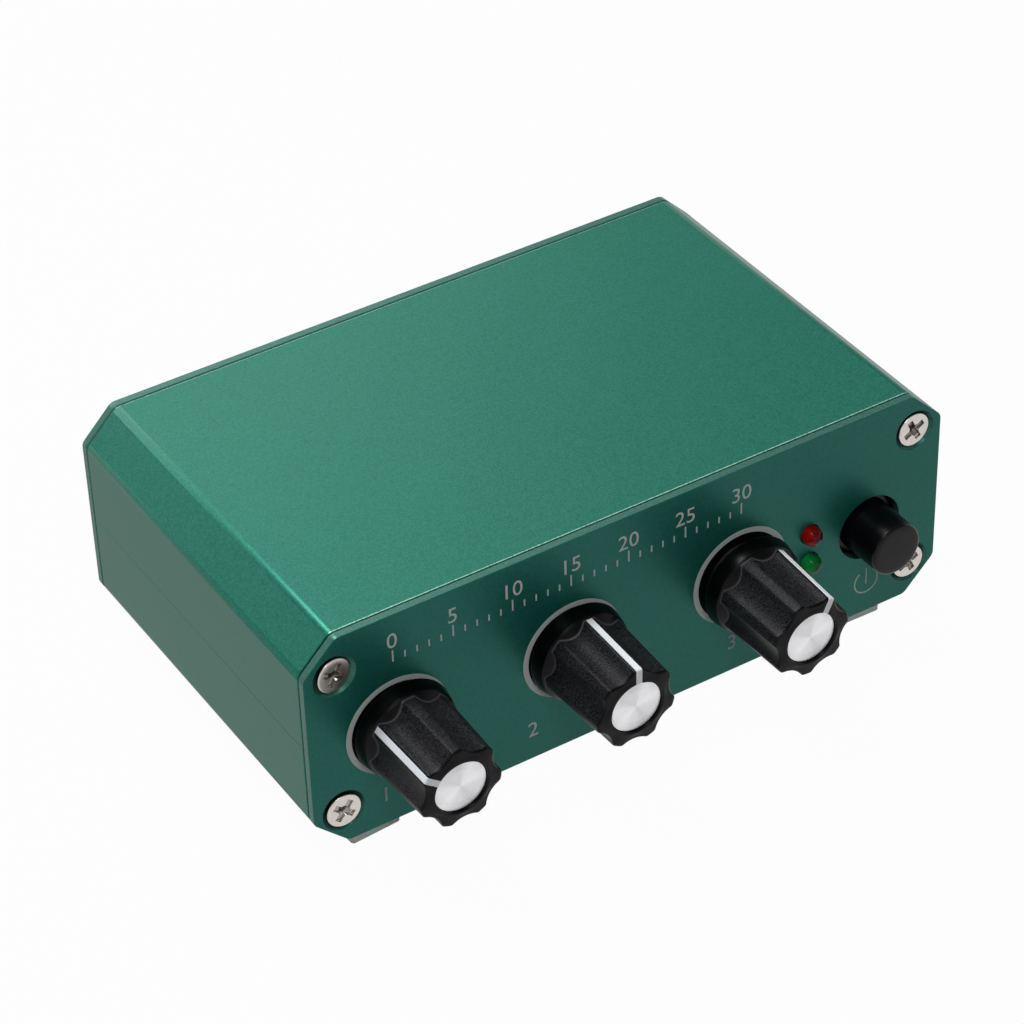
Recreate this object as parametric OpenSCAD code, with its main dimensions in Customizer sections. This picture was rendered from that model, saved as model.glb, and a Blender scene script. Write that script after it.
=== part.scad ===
// Tuned radio-frequency preamplifier in a split aluminium extrusion with two end panels.
// X runs left to right seen from the front, Y runs from the knobs to the rear jacks, Z is up.
// The origin is the middle of the footprint, on the surface that the feet stand on.

/* [Case] */
// Outer width of the extrusion
case_w = 104; // [100:1:140]
// Outer height of the extrusion
case_h = 35.4; // [34:0.2:46]
// Length of the extrusion between the end panels
case_d = 60; // [56:1:90]
// Wall of the extrusion
wall = 1.8; // [1.6:0.1:2.4]
// Leg of the 45 degree cut along each long edge
corner_cut = 5.1; // [4:0.1:6]
// Radius that softens each corner of the outline
corner_round = 1; // [0.5:0.1:1.5]
// Height of the tongue that locks the lower shell into the upper one
tongue_h = 1.4; // [1:0.1:2]
// Thickness of that tongue
tongue_t = 0.8; // [0.6:0.05:1]
// Play between the tongue and its groove
tongue_clear = 0.1; // [0.05:0.01:0.15]

/* [End panels] */
// Thickness of the front and rear panels
panel_t = 1.5; // [1.2:0.1:2]
// Distance of the panel screws from the side of the case
screw_in_x = 4.6; // [4.2:0.1:5.5]
// Distance of the panel screws from the top and bottom of the case
screw_in_z = 5.7; // [5.2:0.1:6.5]
// Shank radius of the panel screws
screw_r = 1.5; // [1.2:0.05:1.6]
// Length of the shank below the panel
screw_len = 7; // [4:0.5:12]
// Radius of the countersunk head
screw_head_r = 2.64; // [2.2:0.02:2.8]
// Radial play of the screw in its channel and countersink
screw_clear = 0.05; // [0.02:0.01:0.1]
// Wall round each screw channel
channel_wall = 1.15; // [0.9:0.05:1.4]
// Length of each bar of the cross recess
recess_l = 3; // [2:0.1:3.4]
// Width of each bar of the cross recess
recess_w = 0.75; // [0.4:0.05:1]
// Depth of the cross recess
recess_d = 0.9; // [0.5:0.1:1.2]

/* [Feet] */
// Side of each square pad
foot_w = 8.4; // [6:0.2:12]
// Height of each pad
foot_h = 2; // [1:0.1:4]
// Corner radius of each pad
foot_round = 1.2; // [0.5:0.1:2]
// Distance of a pad's edge from the end of the flat underside
foot_edge = 1.8; // [0:0.1:6]
// Sideways offset of the pads, which are stuck on by hand
foot_shift = -1.8; // [-1.8:0.1:1.8]
// Distance of a pad's edge from the end of the extrusion
foot_inset = 0.2; // [0:0.1:6]

/* [Knobs] */
// Place of the tune knob along the panel
tune_x = -38; // [-39:0.1:-34]
// Distance between neighbouring knobs
knob_pitch = 27.8; // [26:0.1:28]
// Height of the knob axes above the underside of the case
knob_z = 16.8; // [15.7:0.1:17.7]
// Gap between the panel and the tune knob
tune_gap = 0.8; // [0.4:0.1:2]
// Gap between the panel and the fine tune knob
fine_gap = 0.5; // [0.4:0.1:2]
// Gap between the panel and the gain knob
gain_gap = 1.9; // [0.4:0.1:2]
// Pointer of the tune knob at rest, clockwise from the top
tune_angle = -55; // [-150:1:150]
// Pointer of the fine tune knob at rest, clockwise from the top
fine_angle = 4; // [-150:1:150]
// Pointer of the gain knob at rest, clockwise from the top
gain_angle = 31; // [-150:1:150]
// Length of a knob from the skirt's back to its face
knob_len = 15; // [14.5:0.1:18]
// Radius of the skirt
skirt_r = 7.5; // [7.3:0.1:9]
// Height of the straight part of the skirt
skirt_h = 1.2; // [0.8:0.1:1.5]
// Radius of the collar in front of the skirt
collar_r = 6.95; // [6.9:0.05:7.2]
// Distance of the collar's edge from the back of the knob
collar_z = 1.9; // [1.7:0.1:2.1]
// Radius of the grip at its back
grip_r = 6.75; // [6.6:0.05:6.9]
// Distance of the grip's back from the back of the knob
grip_z = 2.4; // [2.2:0.1:3]
// Radius of the grip at its front
nose_r = 6.35; // [5.8:0.05:6.5]
// Fall of the front face from the cap's recess to the grip's edge
nose_drop = 0.2; // [0.1:0.05:1]
// Number of lobes round the grip
lobe_count = 7; // [6:1:8]
// Depth of the flutes between the lobes
flute_depth = 0.9; // [0.5:0.05:1.1]
// Radius of the flutes
flute_r = 4; // [2.8:0.1:4.4]
// Distance of the flutes from the back of the knob
flute_z = 3.6; // [3.3:0.1:6]
// Radius of the turned silver cap
cap_r = 4.05; // [3.5:0.05:4.4]
// Thickness of the cap
cap_t = 0.7; // [0.5:0.05:0.9]
// Depth of the cap below the front face
cap_set = 0.45; // [0.2:0.05:0.8]
// Width of the white pointer line
pointer_w = 0.95; // [0.6:0.05:1.2]
// Depth of the pointer inlay
pointer_t = 0.35; // [0.25:0.05:0.5]
// Play round the cap and the pointer inlay
inlay_clear = 0.02; // [0.01:0.01:0.04]

/* [Potentiometers] */
// Height of the shaft above the board
pot_axis_h = 6.7; // [6:0.1:7]
// Width of the potentiometer
pot_w = 9.5; // [9:0.1:11]
// Height of the potentiometer above its shaft axis
pot_top = 4.9; // [4.5:0.1:6]
// Depth of the plastic case
pot_d = 5.8; // [5:0.1:8]
// Thickness of the metal front plate
pot_plate_t = 1; // [0.8:0.1:1.5]
// Radius of the threaded bushing
bushing_r = 3.5; // [3.4:0.1:4]
// Length of the bushing in front of the plate
bushing_len = 4.5; // [4.3:0.1:5]
// Play of the bushing in the panel
bushing_clear = 0.15; // [0.1:0.05:0.3]
// Width of the bushing nut across its flats
pot_nut_af = 10; // [9:0.1:10.2]
// Thickness of the bushing nut
pot_nut_t = 2; // [1.5:0.1:2.2]
// Radius of the washer under the nut
pot_washer_r = 5.6; // [5:0.1:5.8]
// Thickness of the washer
pot_washer_t = 0.4; // [0.3:0.1:0.6]
// Radius of the shaft
shaft_r = 3; // [2.8:0.05:3.1]
// Length of the shaft in front of the panel
shaft_proud = 13; // [11:0.1:13.2]
// Length of the shaft behind the panel
shaft_in = 4; // [3:0.1:5]
// Width of the slit in the shaft's tip
slit_w = 0.9; // [0.6:0.1:1.2]
// Depth of that slit
slit_d = 7; // [4:0.5:8]
// Radial running clearance of the shaft in its bushing
run_clear = 0.05; // [0.03:0.01:0.08]
// Radial play between the shaft and the knob
shaft_fit = 0.02; // [0.01:0.01:0.04]
// Room between a turning knob and what stands under it
turn_gap = 0.4; // [0.3:0.05:0.5]
// Width of a terminal
terminal_w = 0.9; // [0.6:0.1:1.2]
// Thickness of a terminal
terminal_t = 0.5; // [0.3:0.1:0.8]
// Height of a terminal above the board
terminal_h = 4; // [2:0.1:6]
// Distance between neighbouring terminals
terminal_pitch = 2.5; // [2:0.1:3.5]

/* [Power button] */
// Place of the button along the panel
button_x = 40; // [39:0.1:42]
// Height of the button axis above the underside of the case
button_z = 15.3; // [14.7:0.1:17.7]
// Radius of the button
button_r = 4.14; // [3.6:0.02:4.4]
// Height of the button in front of the panel
button_proud = 6.5; // [4:0.1:9]
// Radius of the flange at the button's foot
flange_r = 4.85; // [4.5:0.05:5.2]
// Thickness of that flange
flange_t = 1.2; // [0.8:0.1:1.8]
// Depth of the flange below the panel's face
flange_set = 0.6; // [0.3:0.1:1]
// Play of the flange in the panel hole
button_clear = 0.39; // [0.3:0.01:0.6]
// Travel of the button
button_travel = 2.5; // [1.5:0.1:3]
// Side of the square plunger
plunger_w = 3.2; // [2.8:0.1:3.6]
// Depth of the plunger's socket in the button
socket_d = 4.8; // [3:0.1:6]
// Play of the plunger in the switch
plunger_clear = 0.1; // [0.05:0.01:0.2]
// Width of the switch
switch_w = 8.5; // [7:0.1:10]
// Depth of the switch
switch_d = 12; // [11:0.5:15]
// Height of the switch above the plunger axis
switch_top = 4.2; // [3:0.1:6]
// Length of the plunger inside the switch at rest
plunger_in = 5; // [3:0.1:6]
// Room left between the pressed button and the switch
press_gap = 0.6; // [0.3:0.1:1]

/* [Indicator lamps] */
// Place of both lamps along the panel
lamp_x = 29.5; // [29:0.1:30.5]
// Height of the red lamp above the underside of the case
red_z = 18.7; // [18.2:0.1:20.7]
// Height of the green lamp above the underside of the case
green_z = 13.7; // [13.2:0.1:14.2]
// Radius of a lamp
lamp_r = 1.5; // [1.4:0.05:1.6]
// Height of a lamp in front of the panel
lamp_proud = 2; // [1.7:0.1:3]
// Radius of a lamp's rim behind the panel
rim_r = 1.9; // [1.75:0.05:2.1]
// Thickness of that rim
rim_t = 1; // [0.8:0.1:1.4]
// Play of a lamp in its hole
lamp_clear = 0.1; // [0.05:0.05:0.2]
// Radius of a lead
lead_r = 0.25; // [0.2:0.05:0.3]
// Distance between a lamp's two leads
lead_pitch = 2.54; // [2:0.02:2.8]
// Length of the green lamp's leads before they turn down
green_reach = 2.5; // [2:0.1:3]
// Length of the red lamp's leads before they turn down
red_reach = 5; // [4.5:0.1:6]

/* [Board] */
// Thickness of the circuit board
board_t = 1.6; // [1:0.1:1.8]
// Play of the board in its rails and at its sides
board_clear = 0.05; // [0.03:0.01:0.1]
// Gap between the board's edge and each end panel
board_end = 0.5; // [0.3:0.1:1]
// Width of the rails that hold the board
rail_w = 1.6; // [1.2:0.1:2]
// Thickness of those rails
rail_t = 1; // [0.8:0.1:1.2]

/* [Antenna jacks] */
// Place of the antenna jack along the rear
antenna_x = -32; // [-34:0.1:-28]
// Distance between the antenna and receiver jacks
rf_pitch = 20; // [18:0.1:24]
// Height of the jack axes above the board
rf_axis_h = 4.6; // [4:0.1:6]
// Radius of the threaded barrel
rf_r = 3.175; // [3:0.025:3.3]
// Length of the barrel behind the rear panel
rf_proud = 10; // [8:0.1:12]
// Side of the jack's block
rf_block_w = 7.2; // [7:0.1:8]
// Depth of the jack's block
rf_block_d = 9; // [7:0.1:11]
// Radius of the white insulator
rf_insulator_r = 2.05; // [1.9:0.05:2.2]
// Radius of the recess in the barrel's mouth
rf_mouth_r = 2.3; // [2.25:0.05:2.5]
// Depth of that recess
rf_mouth_d = 1.9; // [1.5:0.1:2.5]
// Radius of the centre contact
rf_contact_r = 0.64; // [0.6:0.02:0.7]
// Distance of the contact's tail from the jack's block
rf_tail = 1; // [0.8:0.1:1.5]
// Radius of the socket in the centre contact
rf_socket_r = 0.47; // [0.4:0.01:0.5]
// Depth of that socket
rf_socket_d = 3; // [2:0.1:4]
// Width of a jack's nut across its flats
rf_nut_af = 8; // [7.5:0.1:9]
// Thickness of a jack's nut
rf_nut_t = 2; // [1.5:0.1:2.5]
// Radius of the washer under the nut
rf_washer_r = 4.4; // [4:0.1:5]
// Thickness of the washer
rf_washer_t = 0.5; // [0.3:0.1:0.8]
// Width of the groove where the thread runs out behind the nut
rf_groove_w = 0.6; // [0.4:0.1:1]
// Depth of that groove
rf_groove_d = 0.3; // [0.2:0.05:0.5]
// Play of the jacks' pieces in each other and in the panel
jack_clear = 0.03; // [0.02:0.01:0.08]

/* [Power inlet] */
// Place of the power inlet along the rear
inlet_x = 34; // [32:0.1:36]
// Width of the inlet's housing
inlet_w = 9; // [8.8:0.1:11]
// Height of the inlet's housing
inlet_h = 11; // [10.8:0.1:13]
// Depth of the inlet's housing
inlet_d = 13; // [12:0.1:14]
// Height of the socket above the board
inlet_axis_h = 6.5; // [5:0.1:6.5]
// Radius of the inlet's nose
inlet_nose_r = 4; // [3.8:0.05:4.2]
// Height of the nose behind the panel
inlet_proud = 0.8; // [0.3:0.1:2]
// Radius of the socket
inlet_socket_r = 3.15; // [2.9:0.05:3.4]
// Depth of the socket
inlet_socket_d = 10; // [9:0.1:11]
// Radius of the centre pin
inlet_pin_r = 1; // [0.9:0.05:1.25]
// Radius of the pin's root in the back of the housing
inlet_root_r = 1.4; // [1.3:0.05:1.8]
// Depth of the pin's tip below the socket's mouth
inlet_pin_set = 0.5; // [0.3:0.1:1]

/* [Transmit switching jack] */
// Place of the jack along the rear
key_x = 12; // [10:0.1:16]
// Width of the jack's housing
key_w = 8; // [7.2:0.1:9]
// Depth of the jack's housing
key_d = 10; // [9:0.1:12]
// Height of the jack's axis above the board
key_axis_h = 5; // [4.5:0.1:6]
// Height of the housing above that axis
key_top = 3.6; // [3.4:0.1:5]
// Radius of the threaded barrel
key_r = 3; // [2.8:0.05:3.2]
// Length of the barrel behind the panel
key_proud = 3.5; // [3:0.1:5]
// Radius of the plug's bore
key_bore_r = 1.8; // [1.75:0.01:1.9]
// Length of the plug's bore
key_bore_d = 13.5; // [12:0.1:13.5]
// Width of the nut across its flats
key_nut_af = 8; // [7.5:0.1:9]
// Thickness of the nut
key_nut_t = 2; // [1.5:0.1:2.5]

/* [Board parts] */
// Place of the row of coils, from the middle of the case
coil_y = -11; // [-13:0.5:-10]
// Place of the row of relays, from the middle of the case
relay_y = 7; // [6:0.5:8]
// Side of a tuning coil's can
can_w = 10; // [9:0.1:11]
// Height of a tuning coil's can
can_h = 11.5; // [10:0.1:13]
// Distance between neighbouring coils
can_pitch = 14; // [12:0.1:15]
// Radius of a coil's tuning core
core_r = 1.9; // [1.5:0.05:2.2]
// Length of a coil's tuning core
core_len = 6; // [5:0.1:8]
// Play of the core in its can
core_clear = 0.05; // [0.03:0.01:0.1]
// Length of a bypass relay
relay_l = 10.2; // [9:0.1:11]
// Width of a bypass relay
relay_w = 7.4; // [6:0.1:8]
// Height of a bypass relay
relay_h = 9.8; // [8:0.1:12]
// Radius of the large smoothing capacitor
capacitor_r = 4; // [3.5:0.05:4.5]
// Height of the large smoothing capacitor
capacitor_h = 11.5; // [9:0.1:13]
// Radius of the small smoothing capacitor
small_capacitor_r = 3.15; // [2.5:0.05:3.5]
// Height of the small smoothing capacitor
small_capacitor_h = 7; // [5:0.1:9]
// Distance between the two smoothing capacitors
capacitor_pitch = 12.6; // [10:0.1:14]
// Radius of the amplifier transformer's ring
ring_r = 5; // [4.4:0.1:5.5]
// Radius of the hole in that ring
ring_hole_r = 2.4; // [2:0.1:2.8]
// Height of that ring
ring_h = 4.8; // [4:0.1:6]
// Length of the amplifier transistor
transistor_l = 4.5; // [3:0.1:5]
// Width of the amplifier transistor
transistor_w = 2.5; // [2:0.1:3]
// Height of the amplifier transistor
transistor_h = 1.5; // [1:0.1:2]
// Gap between the ring and the transistor
transistor_gap = 2.5; // [1:0.1:3]
// Side of the voltage regulator
regulator_w = 6.3; // [5:0.1:7]
// Height of the voltage regulator
regulator_h = 2.3; // [1.5:0.1:3]
// Distance between neighbouring chip parts in a row
chip_pitch = 3.4; // [3:0.1:3.6]
// Distance between neighbouring rows of chip parts
chip_row_pitch = 2; // [1.8:0.1:2.4]
// Length of a chip part
chip_l = 2; // [1.6:0.1:2.4]
// Width of a chip part
chip_w = 1.25; // [0.8:0.05:1.5]
// Height of a chip part
chip_h = 0.6; // [0.4:0.05:1]

/* [Hidden] */

$fn = 64;
// Overshoot of a cut past the face it goes through
over = 1;
// Straight steps in each rounded corner of an outline
round_steps = 4;
// Overall reach in front of the front panel and behind the rear panel
front_reach = max(tune_gap, fine_gap, gain_gap) + knob_len;
rear_reach = max(rf_proud, key_proud, inlet_proud);
// The case is shifted so that the footprint is centred on the origin
case_mid_y = (front_reach - rear_reach) / 2;
case_mid_z = foot_h + case_h / 2;
front_face_y = -case_d / 2 - panel_t;
rear_face_y = case_d / 2 + panel_t;
inner_x = case_w / 2 - wall;
inner_z = case_h / 2 - wall;
inner_cut = corner_cut - wall * (2 - sqrt(2));
screw_x = case_w / 2 - screw_in_x;
screw_z = case_h / 2 - screw_in_z;
channel_r = screw_r + screw_clear;
countersink_r = channel_r + panel_t;
head_set = countersink_r - screw_clear - screw_head_r;
// Heights from the middle of the panel, set out from the underside of the case
underside = -case_h / 2;
knob_level = underside + knob_z;
button_level = underside + button_z;
red_level = underside + red_z;
green_level = underside + green_z;
board_top = knob_level - pot_axis_h;
board_bottom = board_top - board_t;
board_w = 2 * (inner_x - 3 * board_clear);
board_d = case_d - 2 * board_end;
fine_x = tune_x + knob_pitch;
gain_x = tune_x + 2 * knob_pitch;
knob_xs = [tune_x, fine_x, gain_x];
// What stands in front of the panel inside a knob's hollow back
bushing_proud = bushing_len - panel_t;
stack_proud = max(bushing_proud, pot_washer_t + pot_nut_t);
pot_nut_r = pot_nut_af / 2 / cos(30);
hollow_r = max(pot_nut_r, pot_washer_r) + turn_gap;
nose_z = knob_len - nose_drop;
pot_back = panel_t + pot_plate_t + pot_d;
// Button and switch, measured back from the panel's face
button_hole_r = flange_r + button_clear;
button_back = flange_set + flange_t;
socket_w = plunger_w + 2 * inlay_clear;
switch_front = button_back + button_travel + press_gap;
receiver_x = antenna_x + rf_pitch;
rf_z = board_top + rf_axis_h;
rf_face = rf_proud - rf_mouth_d;
rf_pin_back = panel_t + rf_block_d + rf_tail;
inlet_z = board_top + inlet_axis_h;
inlet_bottom = inlet_proud - inlet_socket_d;
key_z = board_top + key_axis_h;
// The chip parts lie midway between the coils and the relays
chip_y = (coil_y + can_w / 2 + relay_y - relay_l / 2) / 2;
chip_rows = 3;
chip_columns = 8;

// Outline helpers

function octagon_corners(a, b, c) =
    [[a, b - c], [a - c, b], [c - a, b], [-a, b - c], [-a, c - b], [c - a, -b], [a - c, -b], [a, c - b]];

function softened(corners, turn, r) =
    [for (i = [0 : len(corners) - 1]) for (j = [0 : round_steps])
        let (angle = turn * (i + j / round_steps)) corners[i] + r * [cos(angle), sin(angle)]];

module case_outline() {
    r = corner_round;
    polygon(softened(octagon_corners(case_w / 2 - r, case_h / 2 - r, corner_cut - r * (2 - sqrt(2))), 45, r));
}

module cavity_outline() {
    polygon(octagon_corners(inner_x, inner_z, inner_cut));
}

module pad_outline(w, r) {
    a = w / 2 - r;
    polygon(softened([[a, a], [-a, a], [-a, -a], [a, -a]], 90, r));
}

// Placing helpers

module in_case() {
    translate([0, case_mid_y, case_mid_z]) children();
}

// Runs an outline of the XZ plane along Y, centred on the case
module run_through(length) {
    rotate([90, 0, 0]) linear_extrude(length, center = true) children();
}

// Local Z leaves the front panel's face, local Y is up
module on_front(x, z) {
    in_case() translate([x, front_face_y, z]) rotate([90, 0, 0]) children();
}

// Local Z leaves the rear panel's face, local Y is down
module on_rear(x, z) {
    in_case() translate([x, rear_face_y, z]) rotate([-90, 0, 0]) children();
}

module on_board(x, y) {
    in_case() translate([x, y, board_top]) children();
}

module at_screws() {
    for (x = [-screw_x, screw_x]) {
        for (z = [-screw_z, screw_z]) {
            translate([x, z]) children();
        }
    }
}

// A rod between two heights on its own axis
module rod(r, low, high) {
    translate([0, 0, low]) cylinder(r = r, h = high - low);
}

module block(w, d, low, high) {
    translate([-w / 2, -d / 2, low]) cube([w, d, high - low]);
}

module hexagon_nut(across, thickness, hole_r) {
    difference() {
        cylinder(r = across / 2 / cos(30), h = thickness, $fn = 6);
        rod(hole_r, -over, thickness + over);
    }
}

module washer(r, thickness, hole_r) {
    difference() {
        cylinder(r = r, h = thickness);
        rod(hole_r, -over, thickness + over);
    }
}

// Case

// Wall, screw channels and board rails of the whole extrusion in section
module extrusion_section() {
    difference() {
        union() {
            difference() {
                case_outline();
                cavity_outline();
            }
            intersection() {
                case_outline();
                at_screws() circle(r = channel_r + channel_wall);
            }
            board_rails();
        }
        at_screws() circle(r = channel_r);
        translate([-board_w / 2 - board_clear, board_bottom - board_clear])
            square([board_w + 2 * board_clear, board_t + 2 * board_clear]);
    }
}

module board_rails() {
    low = board_bottom - board_clear - rail_t;
    high = board_top + board_clear + rail_t;
    for (side = [-1, 1]) {
        translate([side * (inner_x - rail_w / 2 + wall / 4) - (rail_w + wall / 2) / 2, low])
            square([rail_w + wall / 2, high - low]);
    }
}

module tongues(grow) {
    for (side = [-1, 1]) {
        translate([side * (inner_x + (tongue_t + grow) / 2) - (tongue_t + grow) / 2, -wall / 2])
            square([tongue_t + grow, wall / 2 + tongue_h + grow]);
    }
}

module upper_shell() {
    color("seagreen") in_case() run_through(case_d) difference() {
        intersection() {
            extrusion_section();
            translate([-case_w, 0]) square([2 * case_w, case_h]);
        }
        tongues(tongue_clear);
    }
}

module lower_shell() {
    color("seagreen") in_case() run_through(case_d) union() {
        intersection() {
            extrusion_section();
            translate([-case_w, -case_h]) square([2 * case_w, case_h]);
        }
        tongues(0);
    }
}

// A panel drawn with its outer face at Z 0, lying towards negative Z
module panel_blank() {
    difference() {
        translate([0, 0, -panel_t]) linear_extrude(panel_t) case_outline();
        at_screws() countersink();
    }
}

module countersink() {
    translate([0, 0, -panel_t]) cylinder(r1 = channel_r, r2 = countersink_r, h = panel_t);
    rod(countersink_r, -0.001, over);
    rod(channel_r, -panel_t - over, -panel_t / 2);
}

module front_panel() {
    color("seagreen") on_front(0, 0) difference() {
        panel_blank();
        for (x = knob_xs) {
            translate([x, knob_level]) rod(bushing_r + bushing_clear, -panel_t - over, over);
        }
        translate([button_x, button_level]) rod(button_hole_r, -panel_t - over, over);
        for (z = [red_level, green_level]) {
            translate([lamp_x, z]) rod(lamp_r + lamp_clear, -panel_t - over, over);
        }
    }
}

module rear_panel() {
    color("seagreen") on_rear(0, 0) difference() {
        panel_blank();
        for (x = [antenna_x, receiver_x]) {
            translate([x, -rf_z]) rod(rf_r + jack_clear, -panel_t - over, over);
        }
        translate([inlet_x, -inlet_z]) rod(inlet_nose_r + jack_clear, -panel_t - over, over);
        translate([key_x, -key_z]) rod(key_r + jack_clear, -panel_t - over, over);
    }
}

// Countersunk screw with its head just below the panel's outer face at Z 0
module panel_screw() {
    cone_h = screw_head_r - screw_r;
    difference() {
        union() {
            translate([0, 0, -head_set - cone_h]) cylinder(r1 = screw_r, r2 = screw_head_r, h = cone_h);
            rod(screw_r, -panel_t - screw_len, -head_set - cone_h);
        }
        for (turn = [0, 90]) {
            rotate([0, 0, turn]) block(recess_l, recess_w, -head_set - recess_d, over);
        }
    }
}

module front_panel_screws() {
    color("silver") on_front(0, 0) at_screws() panel_screw();
}

module rear_panel_screws() {
    color("silver") on_rear(0, 0) at_screws() panel_screw();
}

module rubber_feet() {
    foot_x = case_w / 2 - corner_cut - foot_edge - foot_w / 2;
    foot_y = case_d / 2 - foot_inset - foot_w / 2;
    color("gainsboro") in_case() for (x = [-foot_x, foot_x]) {
        for (y = [-foot_y, foot_y]) {
            translate([x + foot_shift, y, underside - foot_h])
                linear_extrude(foot_h) pad_outline(foot_w, foot_round);
        }
    }
}

module main_board() {
    color("darkgreen") in_case() block(board_w, board_d, board_bottom, board_top);
}

// Knobs, drawn from the skirt's back at Z 0 with the pointer towards local Y

module knob_blank() {
    rotate_extrude() polygon([
        [0, 0], [skirt_r, 0], [skirt_r, skirt_h], [collar_r, collar_z], [grip_r, grip_z],
        [nose_r, nose_z], [cap_r, knob_len], [0, knob_len]
    ]);
}

// Band under the pointer line, along a lobe and over the front face
module pointer_band(play) {
    t = pointer_t + play;
    end_r = cap_r + 3 * (inlay_clear - play);
    intersection() {
        rotate_extrude() polygon([
            [grip_r + play, grip_z], [nose_r + play, nose_z + play], [end_r, knob_len + play],
            [end_r, knob_len - t], [nose_r - t, nose_z - t], [grip_r - t, grip_z]
        ]);
        translate([-pointer_w / 2 - play, 0, 0]) cube([pointer_w + 2 * play, 2 * skirt_r, 2 * knob_len]);
    }
}

module flutes() {
    lean = atan((grip_r - nose_r) / (nose_z - grip_z));
    for (i = [0 : lobe_count - 1]) {
        rotate([0, 0, 90 + (i + 0.5) * 360 / lobe_count])
            translate([grip_r - flute_depth + flute_r, 0, flute_z])
            rotate([0, -lean, 0]) cylinder(r = flute_r, h = 2 * knob_len);
    }
}

module knob(gap) {
    color([0.06, 0.06, 0.07]) difference() {
        knob_blank();
        flutes();
        pointer_band(inlay_clear);
        rod(cap_r + inlay_clear, knob_len - cap_set - cap_t, knob_len + over);
        rod(hollow_r, -over, stack_proud - gap + turn_gap);
        rod(shaft_r + shaft_fit, 0, shaft_proud - gap + turn_gap);
    }
}

module knob_cap() {
    color("whitesmoke") rod(cap_r, knob_len - cap_set - cap_t, knob_len - cap_set);
}

module knob_pointer() {
    color("white") pointer_band(0);
}

module on_knob(x, gap, angle) {
    on_front(x, knob_level) translate([0, 0, gap]) rotate([0, 0, -angle]) children();
}

module tune_knob() { on_knob(tune_x, tune_gap, tune_angle) knob(tune_gap); }
module tune_cap() { on_knob(tune_x, tune_gap, tune_angle) knob_cap(); }
module tune_pointer() { on_knob(tune_x, tune_gap, tune_angle) knob_pointer(); }
module fine_knob() { on_knob(fine_x, fine_gap, fine_angle) knob(fine_gap); }
module fine_cap() { on_knob(fine_x, fine_gap, fine_angle) knob_cap(); }
module fine_pointer() { on_knob(fine_x, fine_gap, fine_angle) knob_pointer(); }
module gain_knob() { on_knob(gain_x, gain_gap, gain_angle) knob(gain_gap); }
module gain_cap() { on_knob(gain_x, gain_gap, gain_angle) knob_cap(); }
module gain_pointer() { on_knob(gain_x, gain_gap, gain_angle) knob_pointer(); }

// Potentiometers, drawn from the front panel's face at Z 0

module pot_shaft(x, angle) {
    color("lightgray") on_front(x, knob_level) rotate([0, 0, -angle]) difference() {
        rod(shaft_r, -panel_t - shaft_in, shaft_proud);
        block(slit_w, 4 * shaft_r, shaft_proud - slit_d, shaft_proud + over);
    }
}

module pot_bushing(x) {
    color("silver") on_front(x, knob_level) difference() {
        union() {
            rod(bushing_r, -panel_t - pot_plate_t / 2, bushing_proud);
            pot_slab(-panel_t - pot_plate_t, -panel_t);
        }
        rod(shaft_r + run_clear, -panel_t - pot_plate_t - over, bushing_proud + over);
    }
}

module pot_case(x) {
    color([0.12, 0.2, 0.35]) on_front(x, knob_level) difference() {
        pot_slab(-pot_back, -panel_t - pot_plate_t);
        rod(shaft_r + run_clear, -panel_t - shaft_in - turn_gap, 0);
    }
}

module pot_slab(low, high) {
    translate([-pot_w / 2, -pot_axis_h, low]) cube([pot_w, pot_axis_h + pot_top, high - low]);
}

module tune_shaft() { pot_shaft(tune_x, tune_angle); }
module tune_bushing() { pot_bushing(tune_x); }
module tune_pot() { pot_case(tune_x); }
module fine_shaft() { pot_shaft(fine_x, fine_angle); }
module fine_bushing() { pot_bushing(fine_x); }
module fine_pot() { pot_case(fine_x); }
module gain_shaft() { pot_shaft(gain_x, gain_angle); }
module gain_bushing() { pot_bushing(gain_x); }
module gain_pot() { pot_case(gain_x); }

module pot_washers() {
    color("silver") for (x = knob_xs) {
        on_front(x, knob_level) washer(pot_washer_r, pot_washer_t, bushing_r + jack_clear);
    }
}

module pot_nuts() {
    color("silver") for (x = knob_xs) {
        on_front(x, knob_level) translate([0, 0, pot_washer_t])
            hexagon_nut(pot_nut_af, pot_nut_t, bushing_r + jack_clear);
    }
}

module pot_terminals() {
    color("silver") for (x = knob_xs) {
        for (i = [-1, 0, 1]) {
            on_board(x + i * terminal_pitch, front_face_y + pot_back + terminal_t / 2)
                block(terminal_w, terminal_t, 0, terminal_h);
        }
    }
}

// Power button and its switch

module power_button() {
    color([0.05, 0.05, 0.06]) on_front(button_x, button_level) difference() {
        union() {
            rod(button_r, -button_back, button_proud);
            rod(flange_r, -button_back, -flange_set);
        }
        block(socket_w, socket_w, -button_back - over, socket_d - button_back);
    }
}

module switch_plunger() {
    color("ivory") on_front(button_x, button_level)
        block(plunger_w, plunger_w, -switch_front - plunger_in, socket_d - button_back);
}

module power_switch() {
    slot = plunger_w + 2 * plunger_clear;
    bottom = button_level - board_top;
    color([0.15, 0.15, 0.16]) on_front(button_x, button_level) difference() {
        translate([-switch_w / 2, -bottom, -switch_front - switch_d])
            cube([switch_w, bottom + switch_top, switch_d]);
        block(slot, slot, -switch_front - plunger_in - button_travel - turn_gap, 0);
    }
}

// Indicator lamps

module lamp(z) {
    on_front(lamp_x, z) union() {
        rod(lamp_r, -panel_t - rim_t, lamp_proud - lamp_r);
        translate([0, 0, lamp_proud - lamp_r]) sphere(r = lamp_r);
        rod(rim_r, -panel_t - rim_t, -panel_t);
    }
}

module red_lamp() { color([0.45, 0.02, 0.03]) lamp(red_level); }
module green_lamp() { color([0.02, 0.4, 0.12]) lamp(green_level); }

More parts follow.
